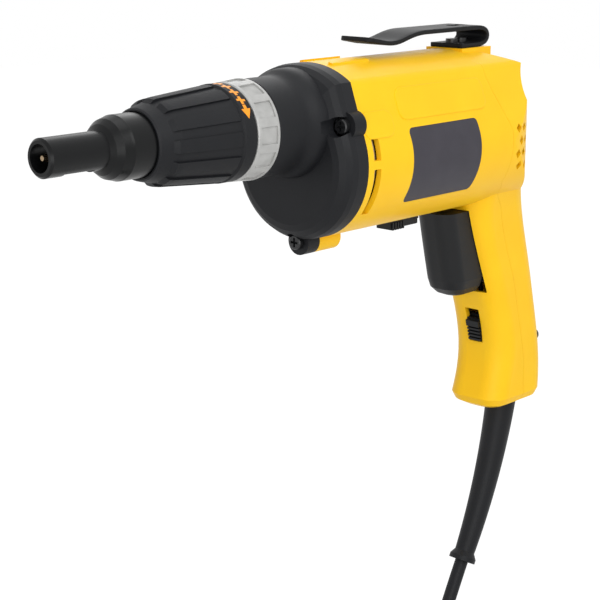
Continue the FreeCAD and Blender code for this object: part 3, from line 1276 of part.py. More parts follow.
def cutters():
    """Every hole through the housing's wall."""
    spare = val("slide_gap")
    flange = val("flange_x")
    made = vent_slots()
    made.append(block((val("switch_front_x") + 1, -val("trigger_w") / 2 - spare,
                       val("trigger_low_z") - spare),
                      (val("trigger_nose_x") + 20, val("trigger_w") / 2 + spare,
                       val("trigger_top_z") + spare)))
    made.append(lock_block(val("lock_low_z"), val("lock_high_z") - val("lock_low_z"), val("lock_w") / 2,
                           -val("wall") - 1, 8))
    made.append(bar((val("lever_x"), 0, val(MOTOR_Z) - val("barrel_r") - 2), Z_AXIS,
                    val("lever_pin_r") + spare / 2, 8))
    for y, z in SCREW_SPOTS:
        made.append(bar((flange - val("screw_len"), y, z), X_AXIS, val("screw_r") + val("seat_gap"), 60))
    pocket = badge_outline(2 * val("seat_gap")).cut(barrel(val("badge_thick") + 2 * val("seat_gap"), 0,
                                                           flange + 5))
    made.append(pocket)
    made.append(pocket.mirror(V(), Y_AXIS))
    for x in HOOK_SCREW_X:
        made.append(bar((x, 0, val("tail_z") - 12), Z_AXIS, val("hook_screw_r") + val("seat_gap"), 30))
    made.append(bar((BOOT_START.x, 0, val("handle_base_z") - 5), Z_AXIS,
                    val("boot_top_r") + val("slide_gap"), 12))
    return made


HOOK_SCREW_X = (val("hook_foot_rear_x") + 8.5, val("hook_foot_front_x") - 5)
BOOT_START = V(val("boot_x"), 0, val("handle_base_z"))
SHELL = shell()


def main_housing():
    form = SHELL.cut(behind_seam(val("seam_gap")))
    for y, z, length in COVER_SCREWS:
        form = form.cut(bar((screw_seat(y, z), y, z), X_AXIS, val("cover_screw_r") + val("seat_gap"),
                            length + 1))
    return form


def rear_cover():
    form = SHELL.common(behind_seam(0))
    for hole in rear_vents():
        form = form.cut(hole)
    for y, z, length in COVER_SCREWS:
        seat = screw_seat(y, z)
        form = form.cut(bar((seat - 60, y, z), X_AXIS, val("cover_head_r") + val("slide_gap"), 60))
        form = form.cut(bar((seat - 1, y, z), X_AXIS, val("cover_screw_r") + val("seat_gap"), length))
    return form


def cover_screws():
    made = []
    head = val("cover_head_len")
    for y, z, length in COVER_SCREWS:
        seat = screw_seat(y, z) - val("seat_gap")
        screw = bar((seat - head, y, z), X_AXIS, val("cover_head_r"), head)
        screw = screw.fuse(bar((seat - 1, y, z), X_AXIS, val("cover_screw_r"), length))
        slot = cross_recess(head - seat, -y, z, val("cover_head_r"))
        slot.rotate(V(), Z_AXIS, 180)
        made.append(screw.cut(slot).removeSplitter())
    return Part.makeCompound(made)


plain("main_housing", main_housing())
plain("rear_cover", rear_cover())
plain("cover_screws", cover_screws())


# Belt hook: a bent strip of sheet steel, screwed to the rear cover's roof.
def strip(points, thick, half):
    """A strip of even thickness along points of the XZ plane, mitred at its bends."""
    middle = [V(x, 0, z) for x, z in points]
    left = []
    right = []
    for index, spot in enumerate(middle):
        before = V(spot - middle[index - 1]).normalize() if index else None
        after = V(middle[index + 1] - spot).normalize() if index < len(middle) - 1 else None
        normals = [way.cross(Y_AXIS) for way in (before, after) if way is not None]
        mitre = V(sum(normals, V())).normalize()
        reach = thick / 2 / mitre.dot(normals[0])
        left.append(spot + mitre * reach)
        right.append(spot - mitre * reach)
    corners = left + right[::-1]
    face = Part.Face(Part.makePolygon(corners + [corners[0]]))
    face.translate(V(0, -half, 0))
    return face.extrude(V(0, 2 * half, 0)), left, right


def belt_hook():
    thick = val("hook_thick")
    half = val("hook_w") / 2
    foot_z = val("hook_seat_z") + val("seat_gap") + thick / 2
    top_z = foot_z + thick + val("hook_rise")
    rear = val("hook_foot_rear_x")
    points = [(val("hook_foot_front_x"), foot_z), (rear + 2, foot_z), (rear - 3,
                                                                       foot_z + (top_z - foot_z) * 0.5),
              (rear + 4, top_z), (val("hook_dip_x") - 14, top_z), (val("hook_dip_x"), val("hook_dip_z")),
              (val("hook_tip_x"), val("hook_tip_z"))]
    form, left, right = strip(points, thick, half)
    bends = left[1:-1] + right[1:-1]
    edges = [edge for edge in form.Edges if edge.Length > 2 * half - 0.01
             and min((V(edge.CenterOfMass) - spot).Length for spot in bends) < 0.05]
    form = form.makeFillet(1.6, edges)
    ends = [edge for edge in form.Edges
            if edge.Length < thick + 0.1 and abs(abs(edge.CenterOfMass.y) - half) < 0.01
            and (edge.CenterOfMass.x > val("hook_tip_x") - 3)]
    form = form.makeFillet(half * 0.55, ends)
    for x in HOOK_SCREW_X:
        form = form.cut(bar((x, 0, foot_z - thick), Z_AXIS, val("hook_screw_r") + val("seat_gap"),
                            2 * thick))
        form = form.cut(bar((x, 0, top_z - thick), Z_AXIS, 2 * val("hook_screw_r") + val("slide_gap"),
                            2 * thick))
    return form


def hook_screws():
    head_z = val("hook_seat_z") + 2 * val("seat_gap") + val("hook_thick")
    made = []
    for x in HOOK_SCREW_X:
        screw = bar((x, 0, head_z), Z_AXIS, 1.6 * val("hook_screw_r"), val("hook_screw_r"))
        screw = screw.fuse(bar((x, 0, head_z - 8), Z_AXIS, val("hook_screw_r"), 9))
        made.append(screw.removeSplitter())
    return Part.makeCompound(made)


plain("belt_hook", belt_hook())
plain("hook_screws", hook_screws())


# Cord: a bending relief, the stretch down to the floor, and the rest put away in a tied coil.
def boot_path():
    end = V(val("boot_end_x"), 0, val("boot_end_z"))
    chord = end - BOOT_START
    side = V(chord.z, 0, -chord.x).normalize()
    return Part.Arc(BOOT_START, BOOT_START + chord * 0.5 + side * val("boot_sag"), end).toShape()


BOOT_PATH = boot_path()
BOOT_END = V(val("boot_end_x"), 0, val("boot_end_z"))
BOOT_WAY = BOOT_PATH.tangentAt(BOOT_PATH.LastParameter)
CORD_START = BOOT_END + BOOT_WAY * val("boot_lip_len")


def cord_boot():
    first_way = BOOT_PATH.tangentAt(BOOT_PATH.FirstParameter)
    sweep = Part.BRepOffsetAPI.MakePipeShell(Part.Wire([BOOT_PATH]))
    sweep.add(Part.Wire([Part.Circle(BOOT_START, first_way, val("boot_top_r")).toShape()]))
    sweep.add(Part.Wire([Part.Circle(BOOT_END, BOOT_WAY, val("boot_low_r")).toShape()]))
    sweep.build()
    sweep.makeSolid()
    form = Part.Solid(sweep.shape()) if sweep.shape().ShapeType != "Solid" else sweep.shape()
    root = val("boot_root_len")
    form = form.fuse(bar(tuple(BOOT_START - V(0, 0, 1)), Z_AXIS, val("boot_root_r"), root + 1))
    collar_z = val("wall") + val("foot_round") / 2
    form = form.fuse(bar((BOOT_START.x, 0, BOOT_START.z + collar_z), Z_AXIS, val("boot_top_r") + 2.5,
                         root - collar_z))
    half = val("boot_lip_len") * 0.5
    sunk = val("boot_lip_sunk")
    flare = Part.makeCone(val("boot_low_r") - sunk * 0.4, val("boot_lip_r"), sunk + half,
                          BOOT_END - BOOT_WAY * sunk,
                          BOOT_WAY)
    rim = bar(tuple(BOOT_END + BOOT_WAY * half), BOOT_WAY, val("boot_lip_r"), half)
    return form.fuse(flare.fuse(rim).removeSplitter())


COIL_Z = val("floor_z") + val("tie_thick") + val("slide_gap") + val("cord_d") / 2
COIL_TURN = 2 * math.pi
COIL_IN = COIL_TURN * val("coil_turns_in")
COIL_BACK = COIL_IN + math.pi
COIL_OUT = COIL_BACK + COIL_TURN * val("coil_turns_out")


def eased(share):
    """A share from 0 to 1 that starts and ends level."""
    share = min(max(share, 0), 1)
    return share * share * (3 - 2 * share)


def coil_spot(angle):
    """The coil's line: in on the lower layer, up in the half turn where it reverses, out on the upper layer."""
    pitch = val("coil_pitch")
    least = val("coil_r") - pitch * val("coil_turns_in")
    z = COIL_Z
    if angle < COIL_IN:
        radius = val("coil_r") - pitch * angle / COIL_TURN
    elif angle < COIL_BACK:
        part = angle - COIL_IN
        radius = least - pitch / COIL_TURN * part * (1 - part / math.pi)
        z += pitch * (1 - math.cos(part)) / 2
    else:
        radius = least + pitch * (angle - COIL_BACK) / COIL_TURN
        tail = COIL_TURN * 0.3
        leaving = eased((angle - COIL_OUT + tail) / tail)
        radius += val("coil_tail_out") * leaving
        z += pitch - val("coil_tail_drop") * eased((angle - COIL_OUT + tail * 0.6) / (tail * 0.6))
    turn = angle - math.pi / 2
    return V(val("coil_x") + radius * math.cos(turn), val("coil_y") + radius * math.sin(turn), z)


def coil_way(angle):
    return V(coil_spot(angle + 1e-4) - coil_spot(angle - 1e-4)).normalize()


COIL_ENTRY = coil_spot(0) - coil_way(0) * val("cord_d")
CORD_ROUTE = [
    CORD_START,
    CORD_START + BOOT_WAY * 21,
    V(36.5, 2, -204),
    V(52.5, 3.5, -217.5),
    V(70, 0, -224.5),
    COIL_ENTRY - coil_way(0) * 13,
    COIL_ENTRY,
]


def cord_path(route):
    """Straight runs joined by arcs as large as the shorter run beside each point allows."""
    edges = []
    start = route[0]
    for before, corner, after in zip(route, route[1:], route[2:]):
        coming = V(corner - before)
        going = V(after - corner)
        cut_back = 0.45 * min(coming.Length, going.Length)
        half_turn = coming.getAngle(going) / 2
        print("bend radius", round(cut_back / math.tan(half_turn), 1))
        coming.normalize()
        going.normalize()
        enter = corner - coming * cut_back
        leave = corner + going * cut_back
        edges.append(Part.LineSegment(start, enter).toShape())
        edges.append(arc_from(enter, coming, leave))
        start = leave
    edges.append(Part.LineSegment(start, route[-1]).toShape())
    return edges


cord_edges = cord_path(CORD_ROUTE)
cord_lead = wire_solid(cord_edges, val("cord_d"))
lead_length = sum(edge.Length for edge in cord_edges)
print("cord lead", round(lead_length, 1), "volume ratio",
      round(cord_lead.Volume / (lead_length * math.pi * val("cord_d") ** 2 / 4), 4))
coil_edges = wound(coil_spot, 0, COIL_OUT, math.pi / 2, val("cord_d"), val("cord_d"))
cord_coil = wire_solid(coil_edges, val("cord_d"))
coil_length = sum(edge.Length for edge in coil_edges)
print("cord coil", round(coil_length, 1), "volume ratio",
      round(cord_coil.Volume / (coil_length * math.pi * val("cord_d") ** 2 / 4), 4),
      "turns clear by", round(least_gap(coil_spot, 0, COIL_OUT, val("cord_d")), 2))
plain("cord_boot", cord_boot())
plain("cord_lead", cord_lead)
plain("cord_coil", cord_coil)


def cord_tie():
    """A flat band round the coil's bundle, on the side away from the tool's nose."""
    spare = val("slide_gap")
    thick = val("tie_thick")
    radius = val("cord_d") / 2
    pitch = val("coil_pitch")
    most = val("coil_r") - 0.75 * pitch + radius + 2 * spare
    least = val("coil_r") - pitch * val("coil_turns_in") + 0.25 * pitch - radius - 3 * spare
    low = COIL_Z - radius - spare
    high = COIL_Z + pitch + radius + spare
    half = val("tie_w") / 2
    x = val("coil_x")
    y = val("coil_y")
    form = block((x - most - thick, y - half, low - thick), (x - least + thick, y + half, high + thick))
    return form.cut(block((x - most, y - half - 1, low), (x - least, y + half + 1, high)))


PLUG_START = coil_spot(COIL_OUT) + coil_way(COIL_OUT) * val("cord_d")
PLUG_WAY = coil_way(COIL_OUT)


def plug_body():
    """A moulded two-pin plug: a ribbed neck, a grip and a flat face."""
    length = val("plug_len")
    radius = val("plug_r")
    neck = val("cord_d") / 2 + 1.2
    marks = [(0, 0), (0, neck), (length * 0.45, neck + 1), (length * 0.55, radius * 0.8), (length * 0.86,
                                                                                           radius),
             (length, radius), (length, 0)]
    face = Part.Face(Part.makePolygon([V(x, 0, z) for x, z in marks] + [V(0, 0, 0)]))
    form = face.revolve(V(), X_AXIS, 360)
    for index in range(4):
        x = length * 0.08 + index * length * 0.09
        groove = bar((x, 0, 0), X_AXIS, radius, 1.3).cut(bar((x - 1, 0, 0), X_AXIS, neck - 0.4, 5))
        form = form.cut(groove)
    for side in (1, -1):
        flat = radius * 0.78
        form = form.cut(block((-1, -20, min(side * flat, side * 20)), (length + 1, 20, max(side * flat,
                                                                                           side * 20))))
        form = form.cut(block((length - val("blade_root"),
                               side * val("blade_pitch") / 2 - val("blade_thick") / 2 - 0.02,
                               -val("blade_w") / 2 - 0.02),
                              (length + 1, side * val("blade_pitch") / 2 + val("blade_thick") / 2 + 0.02,
                               val("blade_w") / 2 + 0.02)))
    return form


def plug_blades():
    length = val("plug_len")
    made = []
    for side in (1, -1):
        y = side * val("blade_pitch") / 2
        blade = block((length - val("blade_root") + 0.02, y - val("blade_thick") / 2, -val("blade_w") / 2),
                      (length + val("blade_len"), y + val("blade_thick") / 2, val("blade_w") / 2))
        tips = [edge for edge in blade.Edges if abs(edge.CenterOfMass.x - length - val("blade_len")) < 0.01
                and edge.Length < val("blade_thick") + 0.1]
        blade = blade.makeFillet(val("blade_w") * 0.3, tips)
        made.append(blade.cut(bar((length + val("blade_len") - 4, y - 5, 0), Y_AXIS, 1.4, 10)))
    return Part.makeCompound(made)


PLUG_TURN = FreeCAD.Placement(PLUG_START, FreeCAD.Rotation(X_AXIS, PLUG_WAY))
plain("cord_tie", cord_tie())
plain("plug_body", plug_body()).Placement = PLUG_TURN
plain("plug_blades", plug_blades()).Placement = PLUG_TURN


# Cord inside the grip: a clamp, the cord's end and two wires up to the switch.
def clamp_low():
    return val("handle_base_z") + val("boot_root_len") + 4


def cord_clamp():
    low = clamp_low()
    x = BOOT_START.x
    half = val("handle_w") / 2 - val("wall") - val("end_gap")
    form = block((x - 5, -half, low), (x + 6, half, low + val("clamp_tall")))
    return form.cut(bar((x, 0, low - 1), Z_AXIS, val("cord_d") / 2 + val("seat_gap"), val("clamp_tall") + 2))


def cord_tail():
    low = val("handle_base_z") + val("boot_root_len") + val("seat_gap")
    return bar((BOOT_START.x, 0, low), Z_AXIS, val("cord_d") / 2, clamp_low() + val("clamp_tall") + 6 - low)


def lead_wires():
    low = clamp_low() + val("clamp_tall") + 6 + val("seat_gap")
    high = val("switch_low_z") - val("seat_gap")
    made = []
    for side in (1, -1):
        start = V(BOOT_START.x, side * 1.9, low)
        end = V(val("switch_front_x") - val("switch_deep") + 5, side * 6, high)
        bend = V(start.x, start.y, low + (high - low) * 0.35)
        knee = V(end.x, end.y, low + (high - low) * 0.7)
        made.append(wire_solid(cord_path([start, bend, knee, end]), val("lead_wire_d")))
    return Part.makeCompound(made)


plain("cord_clamp", cord_clamp())
plain("cord_tail", cord_tail())
plain("lead_wires", lead_wires())
doc.recompute()
os.makedirs("parts", exist_ok=True)
for item in doc.Objects:
    if "Invalid" in item.State or "Error" in item.State:
        raise RuntimeError("failed: " + item.Label)
for item in NODES:
    if item.Shape.isNull() or not item.Shape.isValid():
        raise RuntimeError("bad shape: " + item.Label)
    item.Shape.exportStep("parts/%s.step" % item.Label)
    print(item.Label, len(item.Shape.Solids), round(item.Shape.Volume, 1))
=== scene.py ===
"""Drywall screwdriver: finishes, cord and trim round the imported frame."""

import json
import logging
import math
from dataclasses import dataclass
from enum import Enum

import bpy
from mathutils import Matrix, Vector

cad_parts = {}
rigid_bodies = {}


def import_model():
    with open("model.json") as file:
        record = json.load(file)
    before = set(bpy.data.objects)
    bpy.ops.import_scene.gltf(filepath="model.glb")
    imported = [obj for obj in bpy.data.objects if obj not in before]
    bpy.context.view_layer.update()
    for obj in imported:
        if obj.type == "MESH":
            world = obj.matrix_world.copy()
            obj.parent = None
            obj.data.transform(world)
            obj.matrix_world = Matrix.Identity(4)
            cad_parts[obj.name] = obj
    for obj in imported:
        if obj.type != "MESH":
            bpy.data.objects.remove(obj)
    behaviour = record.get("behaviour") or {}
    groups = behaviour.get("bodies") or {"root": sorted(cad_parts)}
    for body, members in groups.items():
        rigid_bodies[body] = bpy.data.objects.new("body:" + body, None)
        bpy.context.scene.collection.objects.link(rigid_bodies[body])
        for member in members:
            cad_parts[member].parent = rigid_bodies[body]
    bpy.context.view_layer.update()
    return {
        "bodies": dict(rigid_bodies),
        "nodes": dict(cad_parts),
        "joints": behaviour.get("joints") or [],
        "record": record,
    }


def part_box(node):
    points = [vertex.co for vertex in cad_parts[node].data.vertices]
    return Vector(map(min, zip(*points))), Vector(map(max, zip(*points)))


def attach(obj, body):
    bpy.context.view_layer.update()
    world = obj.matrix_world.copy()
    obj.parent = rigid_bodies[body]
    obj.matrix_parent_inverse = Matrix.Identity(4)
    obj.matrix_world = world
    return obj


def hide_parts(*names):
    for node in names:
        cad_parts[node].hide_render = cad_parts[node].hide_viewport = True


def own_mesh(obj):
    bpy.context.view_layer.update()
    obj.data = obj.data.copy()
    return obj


LOG = logging.getLogger("screwdriver")
MM = 0.001
TURN = 2 * math.pi

Colour = tuple[float, float, float]
Place = tuple[float, float, float]
Outline = list[tuple[float, float]]

WHITE = (1, 1, 1, 1)

# The sRGB curve is straight up to its knee and a power above it.
SRGB_KNEE = 0.04045
SRGB_SLOPE = 12.92
SRGB_OFFSET = 0.055
SRGB_POWER = 2.4

# A finish blends its two colours between these levels of a noise that runs from 0 to 1.
BLEND_START = 0.3
BLEND_END = 0.7

# Octaves of the three noises, and how many smears of gloss there are to a patch of colour.
PATCH_DETAIL = 4
SMEAR_DETAIL = 3
GRAIN_DETAIL = 2
SMEARS_PER_PATCH = 0.35

# The scale of turned or drawn marks along their run, as a share of their scale across it.
TURNED_STRETCH = 0.02
DRAWN_STRETCH = 0.03

# Edges that turn by more than this, in degrees, are softened.
SHARP_EDGE = 50.0

# A grid is added from -1 to 1 both ways, then laid out in real sizes.
GRID_SPAN = 2.0


class Grain(Enum):
    """The kind of small surface relief that a finish shows."""

    FINE = "fine moulded grain"
    TURNED = "turning marks round the spindle"
    DRAWN = "straight marks along the piece"


def srgb(code: str) -> Colour:
    """The linear colour of a hexadecimal sRGB code.

    Args:
        code: Six hexadecimal digits.

    Returns:
        Linear red, green and blue.
    """
    parts = [int(code[i:i + 2], 16) / 255 for i in (0, 2, 4)]
    return tuple(part / SRGB_SLOPE if part <= SRGB_KNEE
                 else ((part + SRGB_OFFSET) / (1 + SRGB_OFFSET)) ** SRGB_POWER for part in parts)


@dataclass(frozen=True)
class Finish:
    """A surface finish: two close colours that mottle, roughness that varies, and a small relief.

    The patch, grain and relief sizes are in metres.
    """

    name: str
    colour: str
    second: str
    roughness: float
    spread: float = 0.06
    metallic: float = 0.0
    patch: float = 0.012
    grain: Grain = Grain.FINE
    grain_size: float = 0.0007
    relief: float = 0.00004
    specular: float = 0.5

    def material(self) -> bpy.types.Material:
        """Build the node material, or return it if it was built before.

        Returns:
            The finish as a Blender material.
        """
        full_name = self.name + "_finish"
        known = bpy.data.materials.get(full_name)
        if known is not None:
            return known
        made = bpy.data.materials.new(full_name)
        made.use_nodes = True
        tree = made.node_tree
        shader = tree.nodes["Principled BSDF"]
        shader.inputs["Metallic"].default_value = self.metallic
        shader.inputs["Specular IOR Level"].default_value = self.specular
        place = tree.nodes.new("ShaderNodeTexCoord")
        patches = self._noise(tree, place, 1 / self.patch, PATCH_DETAIL)
        colours = tree.nodes.new("ShaderNodeValToRGB")
        colours.color_ramp.elements[0].position = BLEND_START
        colours.color_ramp.elements[0].color = (*srgb(self.second), 1)
        colours.color_ramp.elements[1].position = BLEND_END
        colours.color_ramp.elements[1].color = (*srgb(self.colour), 1)
        tree.links.new(patches.outputs["Fac"], colours.inputs["Fac"])
        tree.links.new(colours.outputs["Color"], shader.inputs["Base Color"])
        rough = tree.nodes.new("ShaderNodeMapRange")
        rough.inputs["To Min"].default_value = self.roughness - self.spread
        rough.inputs["To Max"].default_value = self.roughness + self.spread
        smears = self._noise(tree, place, SMEARS_PER_PATCH / self.patch, SMEAR_DETAIL)
        tree.links.new(smears.outputs["Fac"], rough.inputs["Value"])
        tree.links.new(rough.outputs["Result"], shader.inputs["Roughness"])
        bump = tree.nodes.new("ShaderNodeBump")
        bump.inputs["Distance"].default_value = self.relief
        bump.inputs["Strength"].default_value = 1.0
        tree.links.new(self._relief(tree, place), bump.inputs["Height"])
        tree.links.new(bump.outputs["Normal"], shader.inputs["Normal"])
        return made

    def _noise(self, tree: bpy.types.NodeTree, place: bpy.types.Node,
               scale: float, detail: float) -> bpy.types.Node:
        """A noise on object coordinates.

        Args:
            tree: The material's nodes.
            place: The texture coordinate node.
            scale: Patches per metre.
            detail: Octaves.

        Returns:
            The noise node.
        """
        noise = tree.nodes.new("ShaderNodeTexNoise")
        noise.inputs["Scale"].default_value = scale
        noise.inputs["Detail"].default_value = detail
        tree.links.new(place.outputs["Object"], noise.inputs["Vector"])
        return noise

    def _relief(self, tree: bpy.types.NodeTree, place: bpy.types.Node) -> bpy.types.NodeSocket:
        """The height pattern of the finish's grain.

        Args:
            tree: The material's nodes.
            place: The texture coordinate node.

        Returns:
            The socket that gives the height.
        """
        stretch = tree.nodes.new("ShaderNodeMapping")
        across = 1 / self.grain_size
        scales = {
            Grain.FINE: (across, across, across),
            Grain.TURNED: (across, across * TURNED_STRETCH, across * TURNED_STRETCH),
            Grain.DRAWN: (across * DRAWN_STRETCH, across, across),
        }
        stretch.inputs["Scale"].default_value = scales[self.grain]
        tree.links.new(place.outputs["Object"], stretch.inputs["Vector"])
        noise = tree.nodes.new("ShaderNodeTexNoise")
        noise.inputs["Scale"].default_value = 1.0
        noise.inputs["Detail"].default_value = GRAIN_DETAIL
        tree.links.new(stretch.outputs["Vector"], noise.inputs["Vector"])
        return noise.outputs["Fac"]


YELLOW = Finish("housing_yellow", "ffcb18", "fec614", roughness=0.44, specular=0.24, patch=0.02,
                grain_size=0.0009, relief=0.00003)
CASE_BLACK = Finish("case_black", "18191c", "151619", roughness=0.54, specular=0.22, grain_size=0.0006,
                    relief=0.00005)
NOSE_BLACK = Finish("nose_black", "0e0f10", "0c0d0e", roughness=0.3, specular=0.2, grain=Grain.TURNED,
                    relief=0.00001)
HOOK_BLACK = Finish("hook_black", "121315", "0e0f11", roughness=0.58, specular=0.2, relief=0.00002)
RING_GRAY = Finish("ring_gray", "b8b8b6", "a7a7a5", roughness=0.4, metallic=0.2, patch=0.006,
                   grain_size=0.0008)
CONTROL_BLACK = Finish("control_black", "161719", "131416", roughness=0.46, specular=0.25,
                       grain_size=0.0008, relief=0.00003)
BADGE_GRAY = Finish("badge_gray", "403e45", "3b3940", roughness=0.46, specular=0.2, grain=Grain.DRAWN,
                    grain_size=0.0004, relief=0.00002)
SCREW_BLACK = Finish("screw_black", "141517", "0f1011", roughness=0.36, relief=0.00001)
STEEL = Finish("ground_steel", "b9babd", "a2a3a6", roughness=0.3, metallic=1.0, grain=Grain.TURNED,
               relief=0.00001)
BIT_STEEL = Finish("bit_steel", "b09a7c", "8d7a62", roughness=0.34, metallic=1.0, patch=0.003,
                   relief=0.00001)
BRONZE = Finish("bronze", "b08a4a", "93713a", roughness=0.42, metallic=1.0, relief=0.00002)
ALLOY = Finish("cast_alloy", "b8b9bb", "a6a7a9", roughness=0.5, metallic=1.0, relief=0.00005)
LAMINATIONS = Finish("laminations", "6b6d72", "55575c", roughness=0.45, metallic=0.9, grain=Grain.TURNED,
                     grain_size=0.0005)
COPPER = Finish("copper", "b4653a", "8f4d2b", roughness=0.35, metallic=0.9, patch=0.002, relief=0.00008)
CARBON = Finish("carbon", "303034", "242427", roughness=0.6, relief=0.00003)
SPRING_STEEL = Finish("spring_steel", "9a9ca0", "85878b", roughness=0.3, metallic=1.0, relief=0.00001)
CORD_RUBBER = Finish("cord_rubber", "121317", "101114", roughness=0.5, specular=0.24)
TIE_BLACK = Finish("tie_black", "1e1f21", "18191a", roughness=0.5, relief=0.00003)
BLADE_BRASS = Finish("blade_brass", "d1b678", "b89d62", roughness=0.28, metallic=1.0, grain=Grain.DRAWN,
                     relief=0.00001)
ORANGE_PRINT = Finish("orange_print", "ffa21a", "f79613", roughness=0.45, patch=0.004, relief=0.00001)

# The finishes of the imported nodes, by the record's material slot.
FINISHES: dict[str, Finish] = {finish.name: finish for finish in (
    YELLOW, CASE_BLACK, NOSE_BLACK, RING_GRAY, CONTROL_BLACK, BADGE_GRAY, SCREW_BLACK, STEEL, BIT_STEEL,
    BRONZE, ALLOY, LAMINATIONS, COPPER, CARBON, SPRING_STEEL, CORD_RUBBER, TIE_BLACK, BLADE_BRASS)}


def material_slots(frame: dict) -> dict[str, str]:
    """The record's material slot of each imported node, by the node's name."""
    return {entry["node"]: entry["material_slot"] for entry in frame["record"]["subparts"]}


def clear_selection() -> None:
    """Deselect everything, so that an operator acts only on the piece at hand."""
    bpy.ops.object.select_all(action="DESELECT")


def only(piece: bpy.types.Object) -> None:
    """Make one object the only selected and the active one.

    Args:
        piece: The object.
    """
    clear_selection()
    piece.select_set(True)
    bpy.context.view_layer.objects.active = piece


def flat_grid(steps_along: int, steps_across: int) -> bpy.types.Object:
    """Add a flat grid from -1 to 1 along X and Y.

    Args:
        steps_along: Its steps along X.
        steps_across: Its steps along Y.

    Returns:
        The grid.
    """
    clear_selection()
    bpy.ops.mesh.primitive_grid_add(x_subdivisions=steps_along, y_subdivisions=steps_across, size=GRID_SPAN)
    return bpy.context.object


def thicken(piece: bpy.types.Object, thickness: float, offset: float) -> None:
    """Give a sheet its thickness.

    Args:
        piece: The sheet.
        thickness: The thickness in millimetres.
        offset: 0 to grow evenly to both sides, -1 to grow against the normals only.
    """
    only(piece)
    wall = piece.modifiers.new("wall", "SOLIDIFY")
    wall.thickness = thickness * MM
    wall.offset = offset
    bpy.ops.object.modifier_apply(modifier="wall")


def soften(piece: bpy.types.Object, width: float, steps: int) -> None:
    """Round the sharp edges of a piece.

    Args:
        piece: The piece.
        width: How far the rounding reaches, in millimetres.
        steps: The steps of each rounding.
    """
    only(piece)
    edge = piece.modifiers.new("edge", "BEVEL")
    edge.width = width * MM
    edge.segments = steps
    edge.limit_method = "ANGLE"
    edge.angle_limit = math.radians(SHARP_EDGE)
    bpy.ops.object.modifier_apply(modifier="edge")


def shade(piece: bpy.types.Object, degrees: float) -> None:
    """Shade a piece smooth across every edge that turns by less than an angle."""
    only(piece)
    bpy.ops.object.shade_smooth_by_angle(angle=math.radians(degrees))


def settle(piece: bpy.types.Object, name: str, finish: Finish, body: str) -> bpy.types.Object:
    """Name a finished piece, put its place into its mesh, dress it and make it ride.

    Args:
        piece: The new object.
        name: The piece's name.
        finish: Its finish.
        body: The body it moves with.

    Returns:
        The same object.
    """
    only(piece)
    bpy.ops.object.transform_apply(location=True, rotation=True, scale=True)
    piece.name = name
    piece.data.name = name
    piece.data.materials.clear()
    piece.data.materials.append(finish.material())
    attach(piece, body)
    LOG.info("made %s", name)
    return piece


@dataclass
class FrameDress:
    """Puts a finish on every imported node, by its material slot."""

    frame: dict

    def dress(self) -> None:
        """Give each node its finish."""
        slots = material_slots(self.frame)
        for name, node in self.frame["nodes"].items():
            finish = FINISHES[slots[name]]
            node.data.materials.clear()
            node.data.materials.append(finish.material())
            LOG.info("dressed %s in %s", name, finish.name)


